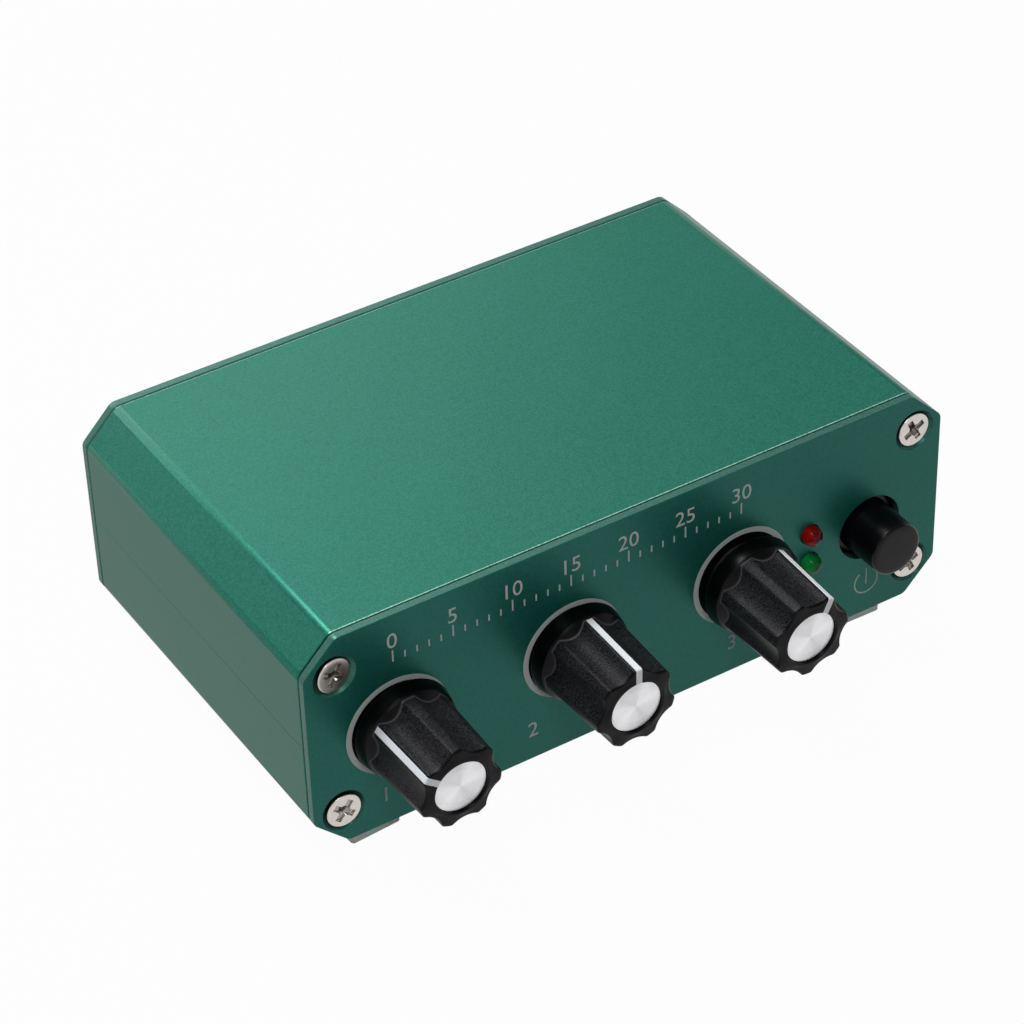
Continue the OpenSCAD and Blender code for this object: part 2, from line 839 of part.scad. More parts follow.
// A lead that leaves the lamp level and turns down to the board
module lead(z, reach) {
    back = -panel_t - rim_t;
    union() {
        rod(lead_r, back - reach, back);
        translate([0, 0, back - reach]) sphere(r = lead_r);
        translate([0, 0, back - reach]) rotate([90, 0, 0]) cylinder(r = lead_r, h = z - board_top);
    }
}

module lamp_leads() {
    color("silver") for (side = [-1, 1]) {
        on_front(lamp_x + side * lead_pitch / 2, red_level) lead(red_level, red_reach);
        on_front(lamp_x + side * lead_pitch / 2, green_level) lead(green_level, green_reach);
    }
}

// Antenna and receiver jacks, drawn from the rear panel's face at Z 0

module rf_jack(x) {
    color("goldenrod") on_rear(x, rf_z) difference() {
        union() {
            rod(rf_r, -panel_t - rf_block_d / 2, rf_proud);
            translate([-rf_block_w / 2, -rf_block_w / 2, -panel_t - rf_block_d])
                cube([rf_block_w, rf_block_w / 2 + rf_axis_h, rf_block_d]);
        }
        rod(rf_insulator_r + jack_clear, -panel_t - rf_block_d - over, rf_proud);
        rod(rf_mouth_r, rf_face, rf_proud + over);
        translate([0, 0, rf_washer_t + rf_nut_t]) washer(rf_r + over, rf_groove_w, rf_r - rf_groove_d);
    }
}

module rf_insulator(x) {
    color("white") on_rear(x, rf_z) difference() {
        rod(rf_insulator_r, -panel_t - rf_block_d, rf_face);
        rod(rf_contact_r + jack_clear, -panel_t - rf_block_d - over, rf_face + over);
    }
}

// Sleeve with a socket for the plug's pin, and a tail that turns down to the board
module rf_contact(x) {
    color("gold") on_rear(x, rf_z) difference() {
        union() {
            rod(rf_contact_r, -rf_pin_back, rf_face);
            translate([0, 0, -rf_pin_back]) sphere(r = rf_contact_r);
            translate([0, 0, -rf_pin_back]) rotate([-90, 0, 0]) cylinder(r = rf_contact_r, h = rf_axis_h);
        }
        rod(rf_socket_r, rf_face - rf_socket_d, rf_face + over);
    }
}

module antenna_jack() { rf_jack(antenna_x); }
module antenna_insulator() { rf_insulator(antenna_x); }
module antenna_contact() { rf_contact(antenna_x); }
module receiver_jack() { rf_jack(receiver_x); }
module receiver_insulator() { rf_insulator(receiver_x); }
module receiver_contact() { rf_contact(receiver_x); }

module rf_washers() {
    color("goldenrod") for (x = [antenna_x, receiver_x]) {
        on_rear(x, rf_z) washer(rf_washer_r, rf_washer_t, rf_r + jack_clear);
    }
}

module rf_nuts() {
    color("goldenrod") for (x = [antenna_x, receiver_x]) {
        on_rear(x, rf_z) translate([0, 0, rf_washer_t]) hexagon_nut(rf_nut_af, rf_nut_t, rf_r + jack_clear);
    }
}

// Power inlet

module power_inlet() {
    color([0.08, 0.08, 0.08]) on_rear(inlet_x, inlet_z) difference() {
        union() {
            rod(inlet_nose_r, -panel_t - inlet_d / 2, inlet_proud);
            translate([-inlet_w / 2, inlet_axis_h - inlet_h, -panel_t - inlet_d])
                cube([inlet_w, inlet_h, inlet_d]);
        }
        rod(inlet_socket_r, inlet_bottom, inlet_proud + over);
        rod(inlet_root_r + jack_clear, -panel_t - inlet_d - over, inlet_proud);
    }
}

module inlet_pin() {
    color("silver") on_rear(inlet_x, inlet_z) union() {
        rod(inlet_root_r, -panel_t - inlet_d, inlet_bottom);
        rod(inlet_pin_r, inlet_bottom, inlet_proud - inlet_pin_set);
    }
}

// Transmit switching jack

module key_jack() {
    color([0.1, 0.1, 0.1]) on_rear(key_x, key_z) difference() {
        union() {
            rod(key_r, -panel_t - key_d / 2, key_proud);
            translate([-key_w / 2, -key_top, -panel_t - key_d]) cube([key_w, key_top + key_axis_h, key_d]);
        }
        rod(key_bore_r, key_proud - key_bore_d, key_proud + over);
    }
}

module key_nut() {
    color("silver") on_rear(key_x, key_z) hexagon_nut(key_nut_af, key_nut_t, key_r + jack_clear);
}

// Parts that stand on the board

module at_coils() {
    for (i = [-1, 0, 1]) {
        on_board(fine_x + i * can_pitch, coil_y) children();
    }
}

module tuning_coils() {
    color("silver") at_coils() difference() {
        block(can_w, can_w, 0, can_h);
        rod(core_r + core_clear, can_h - core_len, can_h + over);
    }
}

module tuning_cores() {
    color([0.2, 0.2, 0.2]) at_coils() difference() {
        rod(core_r, can_h - core_len, can_h - core_r / 2);
        block(core_r / 2, 4 * core_r, can_h - core_r, can_h);
    }
}

module bypass_relays() {
    color("gold") for (x = [antenna_x, receiver_x]) {
        on_board(x, relay_y) block(relay_w, relay_l, 0, relay_h);
    }
}

module smoothing_capacitors() {
    color([0.1, 0.1, 0.15]) union() {
        on_board(inlet_x, relay_y - capacitor_r) cylinder(r = capacitor_r, h = capacitor_h);
        on_board(inlet_x - capacitor_pitch, relay_y - capacitor_r)
            cylinder(r = small_capacitor_r, h = small_capacitor_h);
    }
}

module amplifier_ring() {
    color([0.25, 0.25, 0.25]) on_board(0, relay_y) washer(ring_r, ring_h, ring_hole_r);
}

module amplifier_transistor() {
    color([0.1, 0.1, 0.1]) on_board(ring_r + transistor_gap + transistor_l / 2, relay_y + ring_r)
        block(transistor_l, transistor_w, 0, transistor_h);
}

module voltage_regulator() {
    color([0.1, 0.1, 0.1]) on_board(inlet_x - capacitor_pitch, coil_y)
        block(regulator_w, regulator_w, 0, regulator_h);
}

module chip_parts() {
    color("tan") for (row = [0 : chip_rows - 1]) {
        for (column = [0 : chip_columns - 1]) {
            on_board(antenna_x + (column - 2) * chip_pitch, chip_y + (row - 1) * chip_row_pitch)
                block(chip_l, chip_w, 0, chip_h);
        }
    }
}

upper_shell();
lower_shell();
front_panel();
rear_panel();
front_panel_screws();
rear_panel_screws();
rubber_feet();
main_board();
tune_knob();
tune_cap();
tune_pointer();
tune_shaft();
tune_bushing();
tune_pot();
fine_knob();
fine_cap();
fine_pointer();
fine_shaft();
fine_bushing();
fine_pot();
gain_knob();
gain_cap();
gain_pointer();
gain_shaft();
gain_bushing();
gain_pot();
pot_nuts();
pot_washers();
pot_terminals();
power_button();
switch_plunger();
power_switch();
red_lamp();
green_lamp();
lamp_leads();
antenna_jack();
antenna_insulator();
antenna_contact();
receiver_jack();
receiver_insulator();
receiver_contact();
rf_nuts();
rf_washers();
power_inlet();
inlet_pin();
key_jack();
key_nut();
tuning_coils();
tuning_cores();
bypass_relays();
smoothing_capacitors();
amplifier_ring();
amplifier_transistor();
voltage_regulator();
chip_parts();
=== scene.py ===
import math

import bpy
from mathutils import Matrix, Vector


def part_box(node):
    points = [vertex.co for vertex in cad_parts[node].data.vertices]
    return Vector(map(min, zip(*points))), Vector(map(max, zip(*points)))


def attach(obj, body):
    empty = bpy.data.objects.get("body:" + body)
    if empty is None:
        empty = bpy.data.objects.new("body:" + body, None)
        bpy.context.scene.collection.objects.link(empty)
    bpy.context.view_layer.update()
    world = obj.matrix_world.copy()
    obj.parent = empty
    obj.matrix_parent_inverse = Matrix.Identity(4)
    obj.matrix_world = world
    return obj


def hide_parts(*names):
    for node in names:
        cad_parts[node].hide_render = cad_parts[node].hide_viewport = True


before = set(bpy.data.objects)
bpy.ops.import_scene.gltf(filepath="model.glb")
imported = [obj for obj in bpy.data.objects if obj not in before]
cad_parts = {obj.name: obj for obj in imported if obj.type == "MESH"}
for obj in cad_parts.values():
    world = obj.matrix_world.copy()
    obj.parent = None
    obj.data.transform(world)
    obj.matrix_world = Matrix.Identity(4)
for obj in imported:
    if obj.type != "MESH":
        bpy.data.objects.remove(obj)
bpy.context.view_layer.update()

# Pieces are drawn in millimetres with their outer side towards local Z, then set into the row frame
MM = 0.001
FRONT_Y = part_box("front_panel")[0].y
REAR_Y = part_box("rear_panel")[1].y
SMALL = Matrix.Scale(MM, 4)
FACING = Matrix.Rotation(math.pi / 2, 4, "X") @ SMALL
FRONT = Matrix.Translation((0, FRONT_Y, 0)) @ FACING
REAR = Matrix.Translation((0, REAR_Y, 0)) @ Matrix.Rotation(math.pi, 4, "Z") @ FACING

# Points closer than this are one point, in local millimetres
SAME_POINT = 0.0005

# Case and panels
CASE_W = 104
CASE_H = 35.4
CASE_MID = 19.7
PANEL_T = 1.5
CORNER_CUT = 5.1
CORNER_ROUND = 1
EXTRUSION_ROUND = 1.7
PANEL_ROUND = 1.3
SCREW_R = 1.5
SCREW_HEAD_R = 2.82
CHANNEL_R = 1.55
COUNTERSINK_R = 3.22
RIM = 0.09

# Each screw's place, how far its head stands out of the panel, its turn and its lean, left ones first
SCREWS = [
    (-47.4, CASE_MID - 12, 0.15, 38, 0),
    (-47.3, CASE_MID + 11.55, -0.1, 28, 7.5),
    (47.4, CASE_MID - 12, 0, 64, 0),
    (47.35, CASE_MID + 11.75, -0.1, 62, 1.5),
]

# Controls on the front panel
KNOB_H = 18.8
KNOBS = {"tune": (-38, 0.8, -55), "fine": (-10.2, 0.5, 4), "gain": (17.6, 1.9, 31)}
KNOB_LEN = 15
SKIRT_R = 7.5
GRIP_R = 6.75
GRIP_Z = 2.4
NOSE_R = 6.35
NOSE_Z = 14.8
HOLLOW_R = 6.17
LOBES = 7
FLUTE_R = 4
FLUTE_DEPTH = 0.9
SHOULDER_R = 7.08
SHOULDER_Z = 2.36
SHOULDER_SLOPE = 0.83
CAP_R = 4.05
CAP_Z = 14.55
POINTER_W = 0.95
DIAL_R = 7.97
DIAL_PLACES = [(-38.36, 18.6), (-10.53, 18.68), (17.5, 18.75)]
BUSHING_HOLE_R = 3.65
BUTTON_X, BUTTON_H = 40, 17.3
BUTTON_R = 4.14
BUTTON_HOLE_R = 5.24
LAMP_X = 29.5
LAMP_HEIGHTS = {"red": 20.7, "green": 15.7}
LAMP_R = 1.5
POWER_X, POWER_H = 39.8, 7.6

# Jacks on the rear panel, with X as in the row frame
RF_XS = {"antenna": -32, "receiver": -12}
RF_H = 16.7
RF_R = 3.175
KEY_X, KEY_H = 12, 17.1
KEY_R = 3
INLET_X, INLET_H = 34, 18.6
INLET_NOSE_R = 4
JACK_PLAY = 0.03
RF_BORE_R = 2.08
RF_PITCH = 0.7056
KEY_PITCH = 0.5

# Marks on the front panel
MARK = 0.03
RING_W = 0.85
LINE_W = 0.24
SCALE_FIRST, SCALE_LAST, SCALE_STEPS = -38.5, 17.5, 30
SCALE_H = CASE_MID + 9.9
TICK_LONG, TICK_SHORT, LONG_EVERY = 1.9, 1.1, 5
SCALE_NUMBER, SCALE_NUMBER_H = 3.5, CASE_MID + 13.3
KNOB_NUMBERS = {"1": -40.8, "2": -17.2, "3": 16.2}
KNOB_NUMBER, KNOB_NUMBER_H = 3.6, CASE_MID - 12.6


# Modelling helpers


def clear():
    """Back to object mode with nothing selected."""
    if bpy.context.object and bpy.context.object.mode != "OBJECT":
        bpy.ops.object.mode_set(mode="OBJECT")
    bpy.ops.object.select_all(action="DESELECT")


def pick(*pieces):
    clear()
    for piece in pieces:
        piece.select_set(True)
    bpy.context.view_layer.objects.active = pieces[0]
    return pieces[0]


def renamed(piece, name):
    piece.name = piece.data.name = name
    return piece


def named(name):
    return renamed(bpy.context.object, name)


def edit():
    bpy.ops.object.mode_set(mode="EDIT")


def leave():
    bpy.ops.object.mode_set(mode="OBJECT")


def line(name, points):
    """A wire through points in local millimetres, left selected in edit mode."""
    clear()
    bpy.ops.mesh.primitive_plane_add(size=1, location=points[0])
    piece = named(name)
    bpy.ops.object.transform_apply(location=True, rotation=False, scale=False)
    edit()
    bpy.ops.mesh.select_mode(type="VERT")
    bpy.ops.mesh.merge(type="CENTER")
    for here, there in zip(points, points[1:]):
        bpy.ops.mesh.extrude_vertices_move(TRANSFORM_OT_translate={"value": Vector(there) - Vector(here)})
    bpy.ops.mesh.select_all(action="SELECT")
    return piece


def tidy_up():
    """Merges doubled points, turns all faces outwards and leaves edit mode."""
    bpy.ops.mesh.select_all(action="SELECT")
    bpy.ops.mesh.remove_doubles(threshold=SAME_POINT)
    bpy.ops.mesh.normals_make_consistent(inside=False)
    leave()


def eased(corners, steps=4):
    """Rounds the corners of an outline that come with a radius as their third number."""
    out = []
    for i, corner in enumerate(corners):
        here = Vector(corner[:2])
        if len(corner) == 2:
            out.append(tuple(here))
            continue
        u = (Vector(corners[i - 1][:2]) - here).normalized()
        v = (Vector(corners[(i + 1) % len(corners)][:2]) - here).normalized()
        half = u.angle(v) / 2
        middle = here + (u + v).normalized() * corner[2] / math.sin(half)
        start = here + u * corner[2] / math.tan(half) - middle
        sweep = math.pi - 2 * half
        side = 1 if u.x * v.y - u.y * v.x < 0 else -1
        for k in range(steps + 1):
            spoke = Matrix.Rotation(side * sweep * k / steps, 2) @ start
            out.append(tuple(middle + spoke))
    return out


def revolve(steps, degrees=360):
    """Sweeps the selected wire about local Z and leaves edit mode."""
    bpy.ops.mesh.spin(steps=steps, angle=math.radians(degrees), center=(0, 0, 0), axis=(0, 0, 1))
    tidy_up()


def turned(name, outline, steps=64):
    """A body turned about local Z from an outline of (radius, height)."""
    piece = line(name, [(r, 0, h) for r, h in outline])
    revolve(steps)
    return piece


def slab(name, outline, low, high):
    """A plate with an outline of (x, y), between two heights."""
    piece = line(name, [(x, y, low) for x, y in outline])
    bpy.ops.mesh.edge_face_add()
    bpy.ops.mesh.extrude_region_move(TRANSFORM_OT_translate={"value": (0, 0, high - low)})
    tidy_up()
    return piece


def brick(name, size, middle):
    """A block of a size round its middle, to be shaped further."""
    clear()
    bpy.ops.mesh.primitive_cube_add(size=1, location=middle, scale=size)
    piece = named(name)
    bpy.ops.object.transform_apply(location=True, rotation=True, scale=True)
    return piece


def set_in(piece, matrix):
    """Puts a piece at a place and leaves that place in its mesh."""
    pick(piece)
    piece.matrix_world = matrix
    bpy.ops.object.transform_apply(location=True, rotation=True, scale=True)
    return piece


def shift(x, y, z=0, turn=0, lean=0):
    """A place, with a turn clockwise about local Z and a lean towards local X."""
    aim = Matrix.Rotation(math.radians(lean), 4, "Y") @ Matrix.Rotation(math.radians(-turn), 4, "Z")
    return Matrix.Translation((x, y, z)) @ aim


def twin(piece, name):
    """A copy of a piece with a mesh of its own."""
    copy = bpy.data.objects.new(name, piece.data.copy())
    copy.data.name = name
    bpy.context.scene.collection.objects.link(copy)
    return copy


def joined(pieces):
    piece = pick(*pieces)
    if len(pieces) > 1:
        bpy.ops.object.join()
    return piece


def repeated(piece, places):
    """One piece copied to several places and joined."""
    name = piece.name
    copies = [set_in(twin(piece, f"{name}_copy"), shift(*place)) for place in places]
    bpy.data.objects.remove(piece)
    return renamed(joined(copies), name)


def modified(piece, kind, **settings):
    modifier = piece.modifiers.new(kind.lower(), kind)
    for key, value in settings.items():
        setattr(modifier, key, value)
    pick(piece)
    bpy.ops.object.modifier_apply(modifier=modifier.name)
    return piece


def cut(piece, tool, operation="DIFFERENCE"):
    modified(piece, "BOOLEAN", object=tool, operation=operation, solver="EXACT")
    bpy.data.objects.remove(tool)
    return piece


def soften(piece, test, width, segments=2):
    """Bevels the edges whose two ends pass a test."""
    pick(piece)
    edit()
    bpy.ops.mesh.select_mode(type="EDGE")
    bpy.ops.mesh.select_all(action="DESELECT")
    leave()
    points = piece.data.vertices
    for edge in piece.data.edges:
        a, b = (points[i].co for i in edge.vertices)
        edge.select = test(a, b)
    edit()
    bpy.ops.mesh.bevel(offset=width, segments=segments, affect="EDGES", clamp_overlap=True)
    leave()
    return piece


def smooth(piece, degrees=32):
    """Clears empty faces and shades slight angles smooth. Outsize faces stay flat."""
    pick(piece)
    reach = max(point.co.length for point in piece.data.vertices)
    edit()
    bpy.ops.mesh.select_all(action="SELECT")
    bpy.ops.mesh.dissolve_degenerate(threshold=reach * 2e-5)
    leave()
    bpy.ops.object.shade_smooth_by_angle(angle=math.radians(degrees))
    faces = piece.data.polygons
    sides = {}
    for face in faces:
        for key in face.edge_keys:
            sides.setdefault(key, []).append(face)
    for face in faces:
        near = sorted(other.area for key in face.edge_keys for other in sides[key] if other != face)
        if near and face.area > 6 * near[len(near) // 2]:
            face.use_smooth = False
    return piece


def finished(piece, finish, body, slot, *nodes):
    """Gives a piece its finish, its body and the solids it stands for. The slot argument is not used."""
    piece.data.materials.clear()
    piece.data.materials.append(FINISHES[finish])
    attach(piece, body)
    if nodes:
        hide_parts(*nodes)
    return piece


# Finishes


class Value:
    """A number that varies over a surface. Arithmetic on it adds Math nodes."""

    def __init__(self, finish, socket):
        self.finish = finish
        self.socket = socket

    def maths(self, operation, *values):
        return self.finish.node("ShaderNodeMath", {"operation": operation}, dict(enumerate(values)))

    def wave(self):
        return self.maths("SINE", self)

    def __add__(self, other):
        return self.maths("ADD", self, other)

    def __sub__(self, other):
        return self.maths("SUBTRACT", self, other)

    def __rsub__(self, other):
        return self.maths("SUBTRACT", other, self)

    def __mul__(self, other):
        return self.maths("MULTIPLY", self, other)

    def __pow__(self, other):
        return self.maths("POWER", self, other)

    __radd__ = __add__
    __rmul__ = __mul__


class Finish:
    """A material round one Principled shader, with its even properties on the shader's own sockets."""

    def __init__(self, name, even):
        self.material = bpy.data.materials.new(name)
        self.material.use_nodes = True
        self.tree = self.material.node_tree
        self.shader = self.tree.nodes["Principled BSDF"]
        self.place = self.node("ShaderNodeTexCoord", output="Object")
        for socket, value in even.items():
            self.feed(socket, value)

    def set(self, socket, value):
        if isinstance(value, Value):
            self.tree.links.new(value.socket, socket)
        else:
            socket.default_value = value

    def feed(self, socket, value):
        self.set(self.shader.inputs[socket], value)

    def node(self, kind, settings=None, sockets=None, output=0):
        node = self.tree.nodes.new(kind)
        for key, setting in (settings or {}).items():
            if key == "stops":
                while len(node.color_ramp.elements) < len(setting):
                    node.color_ramp.elements.new(1)
                for element, (position, level) in zip(node.color_ramp.elements, setting):
                    element.position = position
                    element.color = (level, level, level, 1)
            else:
                setattr(node, key, setting)
        for socket, value in (sockets or {}).items():
            self.set(node.inputs[socket], value)
        return Value(self, node.outputs[output])

    def noise(self, size, detail=2, rough=0.5):
        """Noise from 0 to 1 with features of a size in millimetres."""
        sockets = {"Vector": self.place, "Scale": 1 / (size * MM), "Detail": detail, "Roughness": rough}
        return self.node("ShaderNodeTexNoise", None, sockets)

    def flakes(self, size):
        """A level from 0 to 1 for each cell of a size in millimetres."""
        sockets = {"Vector": self.place, "Scale": 1 / (size * MM)}
        cell = self.node("ShaderNodeTexVoronoi", None, sockets, "Position")
        return self.node("ShaderNodeTexWhiteNoise", None, {"Vector": cell})

    def sides(self, x, y, z):
        """Millimetres from a point, along each axis."""
        split = self.node("ShaderNodeSeparateXYZ", None, {0: self.place}).socket.node.outputs
        return [Value(self, socket) * (1 / MM) - middle for socket, middle in zip(split, (x, y, z))]

    def ramp(self, value, *stops):
        return self.node("ShaderNodeValToRGB", {"stops": stops}, {0: value})

    def mix(self, low, high, factor):
        return self.node("ShaderNodeMix", {"data_type": "RGBA"}, {0: factor, 6: low, 7: high}, 2)

    def bump(self, height, strength, depth):
        """Relief of a depth in millimetres."""
        sockets = {"Strength": strength, "Distance": depth * MM, "Height": height}
        self.feed("Normal", self.node("ShaderNodeBump", None, sockets))


def tone(red, green, blue):
    """A colour from its screen values."""
    levels = [v / 255 for v in (red, green, blue)]
    return tuple(v / 12.92 if v <= 0.04045 else ((v + 0.055) / 1.055) ** 2.4 for v in levels) + (1,)


def anodised(name, dark, light, shine, sheen, edge):
    """Bead-blasted aluminium with a dyed skin: fine bright flakes over a soft cloud, and paler edges,
    milled on the panels and a painted highlight on the extrusion.
    """
    finish = Finish(name, {"Metallic": 0.4, "Specular IOR Level": shine, "Specular Tint": sheen})
    flake = finish.flakes(0.16)
    pit = finish.noise(0.34, 2)
    cloud = finish.noise(24, 3)
    skin = finish.mix(dark, light, flake * 0.5 + pit * 0.4 + cloud * 0.1)
    pale, share = edge(finish, pit)
    finish.feed("Base Color", finish.mix(skin, pale, share))
    finish.feed("Roughness", 0.33 + flake * 0.1 - pit * 0.04)
    finish.bump(flake * 0.5 + pit * 0.5, 0.35, 0.025)
    return finish.material


def milled_edge(finish, pit):
    """Panel edges and bores as the cutter left them, with slanted marks."""
    across, along, up = finish.sides(0, 0, CASE_MID)
    reach = along.maths("ABSOLUTE", along - (FRONT_Y + REAR_Y) / 2 / MM)
    behind = (REAR_Y - FRONT_Y) / 2 / MM - reach
    slant = (across + up * 0.8 + along * 0.7) * (2 * math.pi / 0.5) + pit * 14
    mark = slant.wave() * 0.22 + pit
    pale = finish.mix(tone(38, 88, 78), tone(74, 118, 106), mark)
    return pale, finish.ramp(behind, (0.05, 0), (0.12, 1))


def worn_edge(finish, pit):
    """Painted highlight: a thin bright line along the extrusion's upper end edges."""
    low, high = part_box("upper_shell")
    _, along, up = finish.sides(0, (low.y + high.y) / 2 / MM, high.z / MM - 0.5)
    reach = along.maths("ABSOLUTE", along) - ((high.y - low.y) / 2 / MM - 0.5)
    # Painted highlight: pale line along the upper end edges only
    highlight_line = finish.ramp(reach, (0.32, 0), (0.38, 1)) * finish.ramp(up, (0.27, 0), (0.33, 1))
    return tone(184, 244, 224), highlight_line * finish.ramp(pit, (0.3, 0.35), (0.6, 1))


def metal(name, dark, light, rough, grain=0.4, relief=0.12):
    """Plated or drawn metal with faint smears and fine scratches."""
    finish = Finish(name, {"Metallic": 1})
    smear = finish.noise(3.5, 4, 0.6)
    speck = finish.noise(grain, 2)
    finish.feed("Base Color", finish.mix(dark, light, smear * 0.6 + speck * 0.4))
    finish.feed("Roughness", rough + smear * 0.14)
    finish.bump(speck, relief, 0.015)
    return finish.material


def plastic(name, dark, light, rough, grain=0.25, relief=0.3, shine=0.5, depth=0.03):
    """Moulded plastic with a spark-eroded grain."""
    finish = Finish(name, {"Specular IOR Level": shine})
    speck = finish.noise(grain, 3, 0.6)
    dust = finish.noise(6, 3)
    finish.feed("Base Color", finish.mix(dark, light, speck * speck * 1.3 + dust * 0.25))
    finish.feed("Roughness", rough + speck * 0.18 - dust * 0.08)
    finish.bump(speck, relief, depth)
    return finish.material


def knob_plastic(name, x, gap):
    """Moulded black with a smooth skirt and front, a grain along the grip, and a painted highlight along
    the crease where the flutes meet the shoulder.
    """
    finish = Finish(name, {"Specular IOR Level": 0.12})
    across, along, up = finish.sides(x, FRONT_Y / MM - gap, KNOB_H)
    radius = (across * across + up * up) ** 0.5
    off_cone = radius - SHOULDER_R - (along + SHOULDER_Z) * (1 / SHOULDER_SLOPE)
    behind, ahead = ((NOSE_Z - depth) / KNOB_LEN for depth in (0.4, 0.2))
    grip = finish.ramp(along * (-1 / KNOB_LEN), (behind, 1), (ahead, 0))
    grained = finish.ramp(off_cone, (0.05, 0), (0.14, 1)) * grip
    # Painted highlight: a paler grey line along the crease where the flutes run out on the shoulder
    painted_crease_highlight = finish.ramp(off_cone, (0.01, 0), (0.05, 1), (0.09, 1), (0.15, 0))
    speck = finish.noise(0.17, 2, 0.6)
    spot = finish.ramp(speck, (0.42, 0), (0.78, 1)) * grained
    skin = finish.mix(tone(3, 3, 4), tone(132, 132, 138), spot * 0.24)
    finish.feed("Base Color", finish.mix(skin, tone(96, 96, 100), painted_crease_highlight * 0.5))
    finish.feed("Metallic", spot * 0.25)
    finish.feed("Roughness", 0.26 + grained * 0.13 + speck * 0.06)
    finish.bump(speck * (0.08 + grained), 0.5, 0.04)
    return finish.material


def spun_metal(name, x, dark, light):
    """Turned aluminium: fine rings round the knob's axis, and a painted sheen, a fan of lighter and darker
    wedges round it.
    """
    finish = Finish(name, {"Metallic": 1})
    across, _, up = finish.sides(x, 0, KNOB_H)
    radius = (across * across + up * up) ** 0.5
    turn = up.maths("ARCTAN2", up, across)
    rings = (radius * (2 * math.pi / 0.1)).wave()
    # Painted sheen: lighter and darker wedges round the axis
    painted_sheen_fan = (turn * 2 + 0.6).wave() * 0.6 + (turn * 7).wave() * 0.15
    uneven = finish.noise(0.5, 2)
    finish.feed("Base Color", finish.mix(dark, light, 0.5 + rings * 0.2 + painted_sheen_fan * 0.4 + uneven * 0.1))
    finish.feed("Roughness", 0.3 + uneven * 0.06)
    finish.bump(rings, 0.2, 0.006)
    return finish.material


def screw_metal(name, face, outward):
    """Nickel plate with turning marks, rougher down in the recess, with painted shade there: a dull brown
    that darkens with depth.
    """
    finish = Finish(name, {"Metallic": 1})
    _, along, _ = finish.sides(0, face, 0)
    smear = finish.noise(0.6, 3)
    scratch = finish.noise(0.12, 2)
    # Painted shade: the plate turns dull brown and darker with depth in the recess
    depth = finish.ramp(along * outward - 0.1 + smear * 0.1, (0.2, 0), (0.45, 0.6), (0.9, 1))
    plate = finish.mix(tone(176, 170, 164), tone(226, 222, 216), smear * 0.6 + scratch * 0.4)
    finish.feed("Base Color", finish.mix(plate, tone(68, 59, 49), depth))
    finish.feed("Roughness", 0.26 + scratch * 0.12 + depth * 0.12)
    finish.bump(scratch, 0.15, 0.01)
    return finish.material


def lens(name, deep, bright, x, z):
    """Clear-coloured lamp body with painted light: brighter towards its edge and its lower left, darker at
    the upper right.
    """
    finish = Finish(name, {"Roughness": 0.06, "Specular IOR Level": 0.12})
    across, _, up = finish.sides(x, 0, z)
    radius = (across * across + up * up) ** 0.5
    ripple = finish.noise(0.8, 2)
    # Painted light: the lens colour runs from deep to bright towards the edge and the lower left
    side = across * 0.28 + up * 0.14
    painted_light_level = radius * (0.6 / LAMP_R) + ripple * 0.12 + 0.22 - side
    glow = finish.ramp(painted_light_level, (0.3, 0), (0.7, 0.45), (1, 1))
    finish.feed("Base Color", finish.mix(deep, bright, glow))
    finish.bump(ripple, 0.05, 0.02)
    return finish.material


def rubber(name, dark, light):
    finish = Finish(name, {"Specular IOR Level": 0.4, "Subsurface Weight": 0.4, "Subsurface Scale": 0.002})
    haze = finish.noise(2.2, 3)
    grain = finish.noise(0.18, 2)
    finish.feed("Base Color", finish.mix(dark, light, haze))
    finish.feed("Roughness", 0.45 + grain * 0.2)
    finish.bump(grain, 0.15, 0.02)
    return finish.material


def laminate(name, mask, track):
    """Circuit board: glass weave under the mask, with copper areas that show through it."""
    finish = Finish(name, {"Coat Weight": 0.5, "Coat Roughness": 0.15})
    weave = finish.noise(0.5, 2)
    area = finish.ramp(finish.noise(5, 1), (0.48, 0), (0.5, 1))
    finish.feed("Base Color", finish.mix(mask, track, area * 0.7 + weave * 0.3))
    finish.feed("Roughness", 0.35 + weave * 0.15)
    finish.bump(area + weave * 0.2, 0.3, 0.03)
    return finish.material


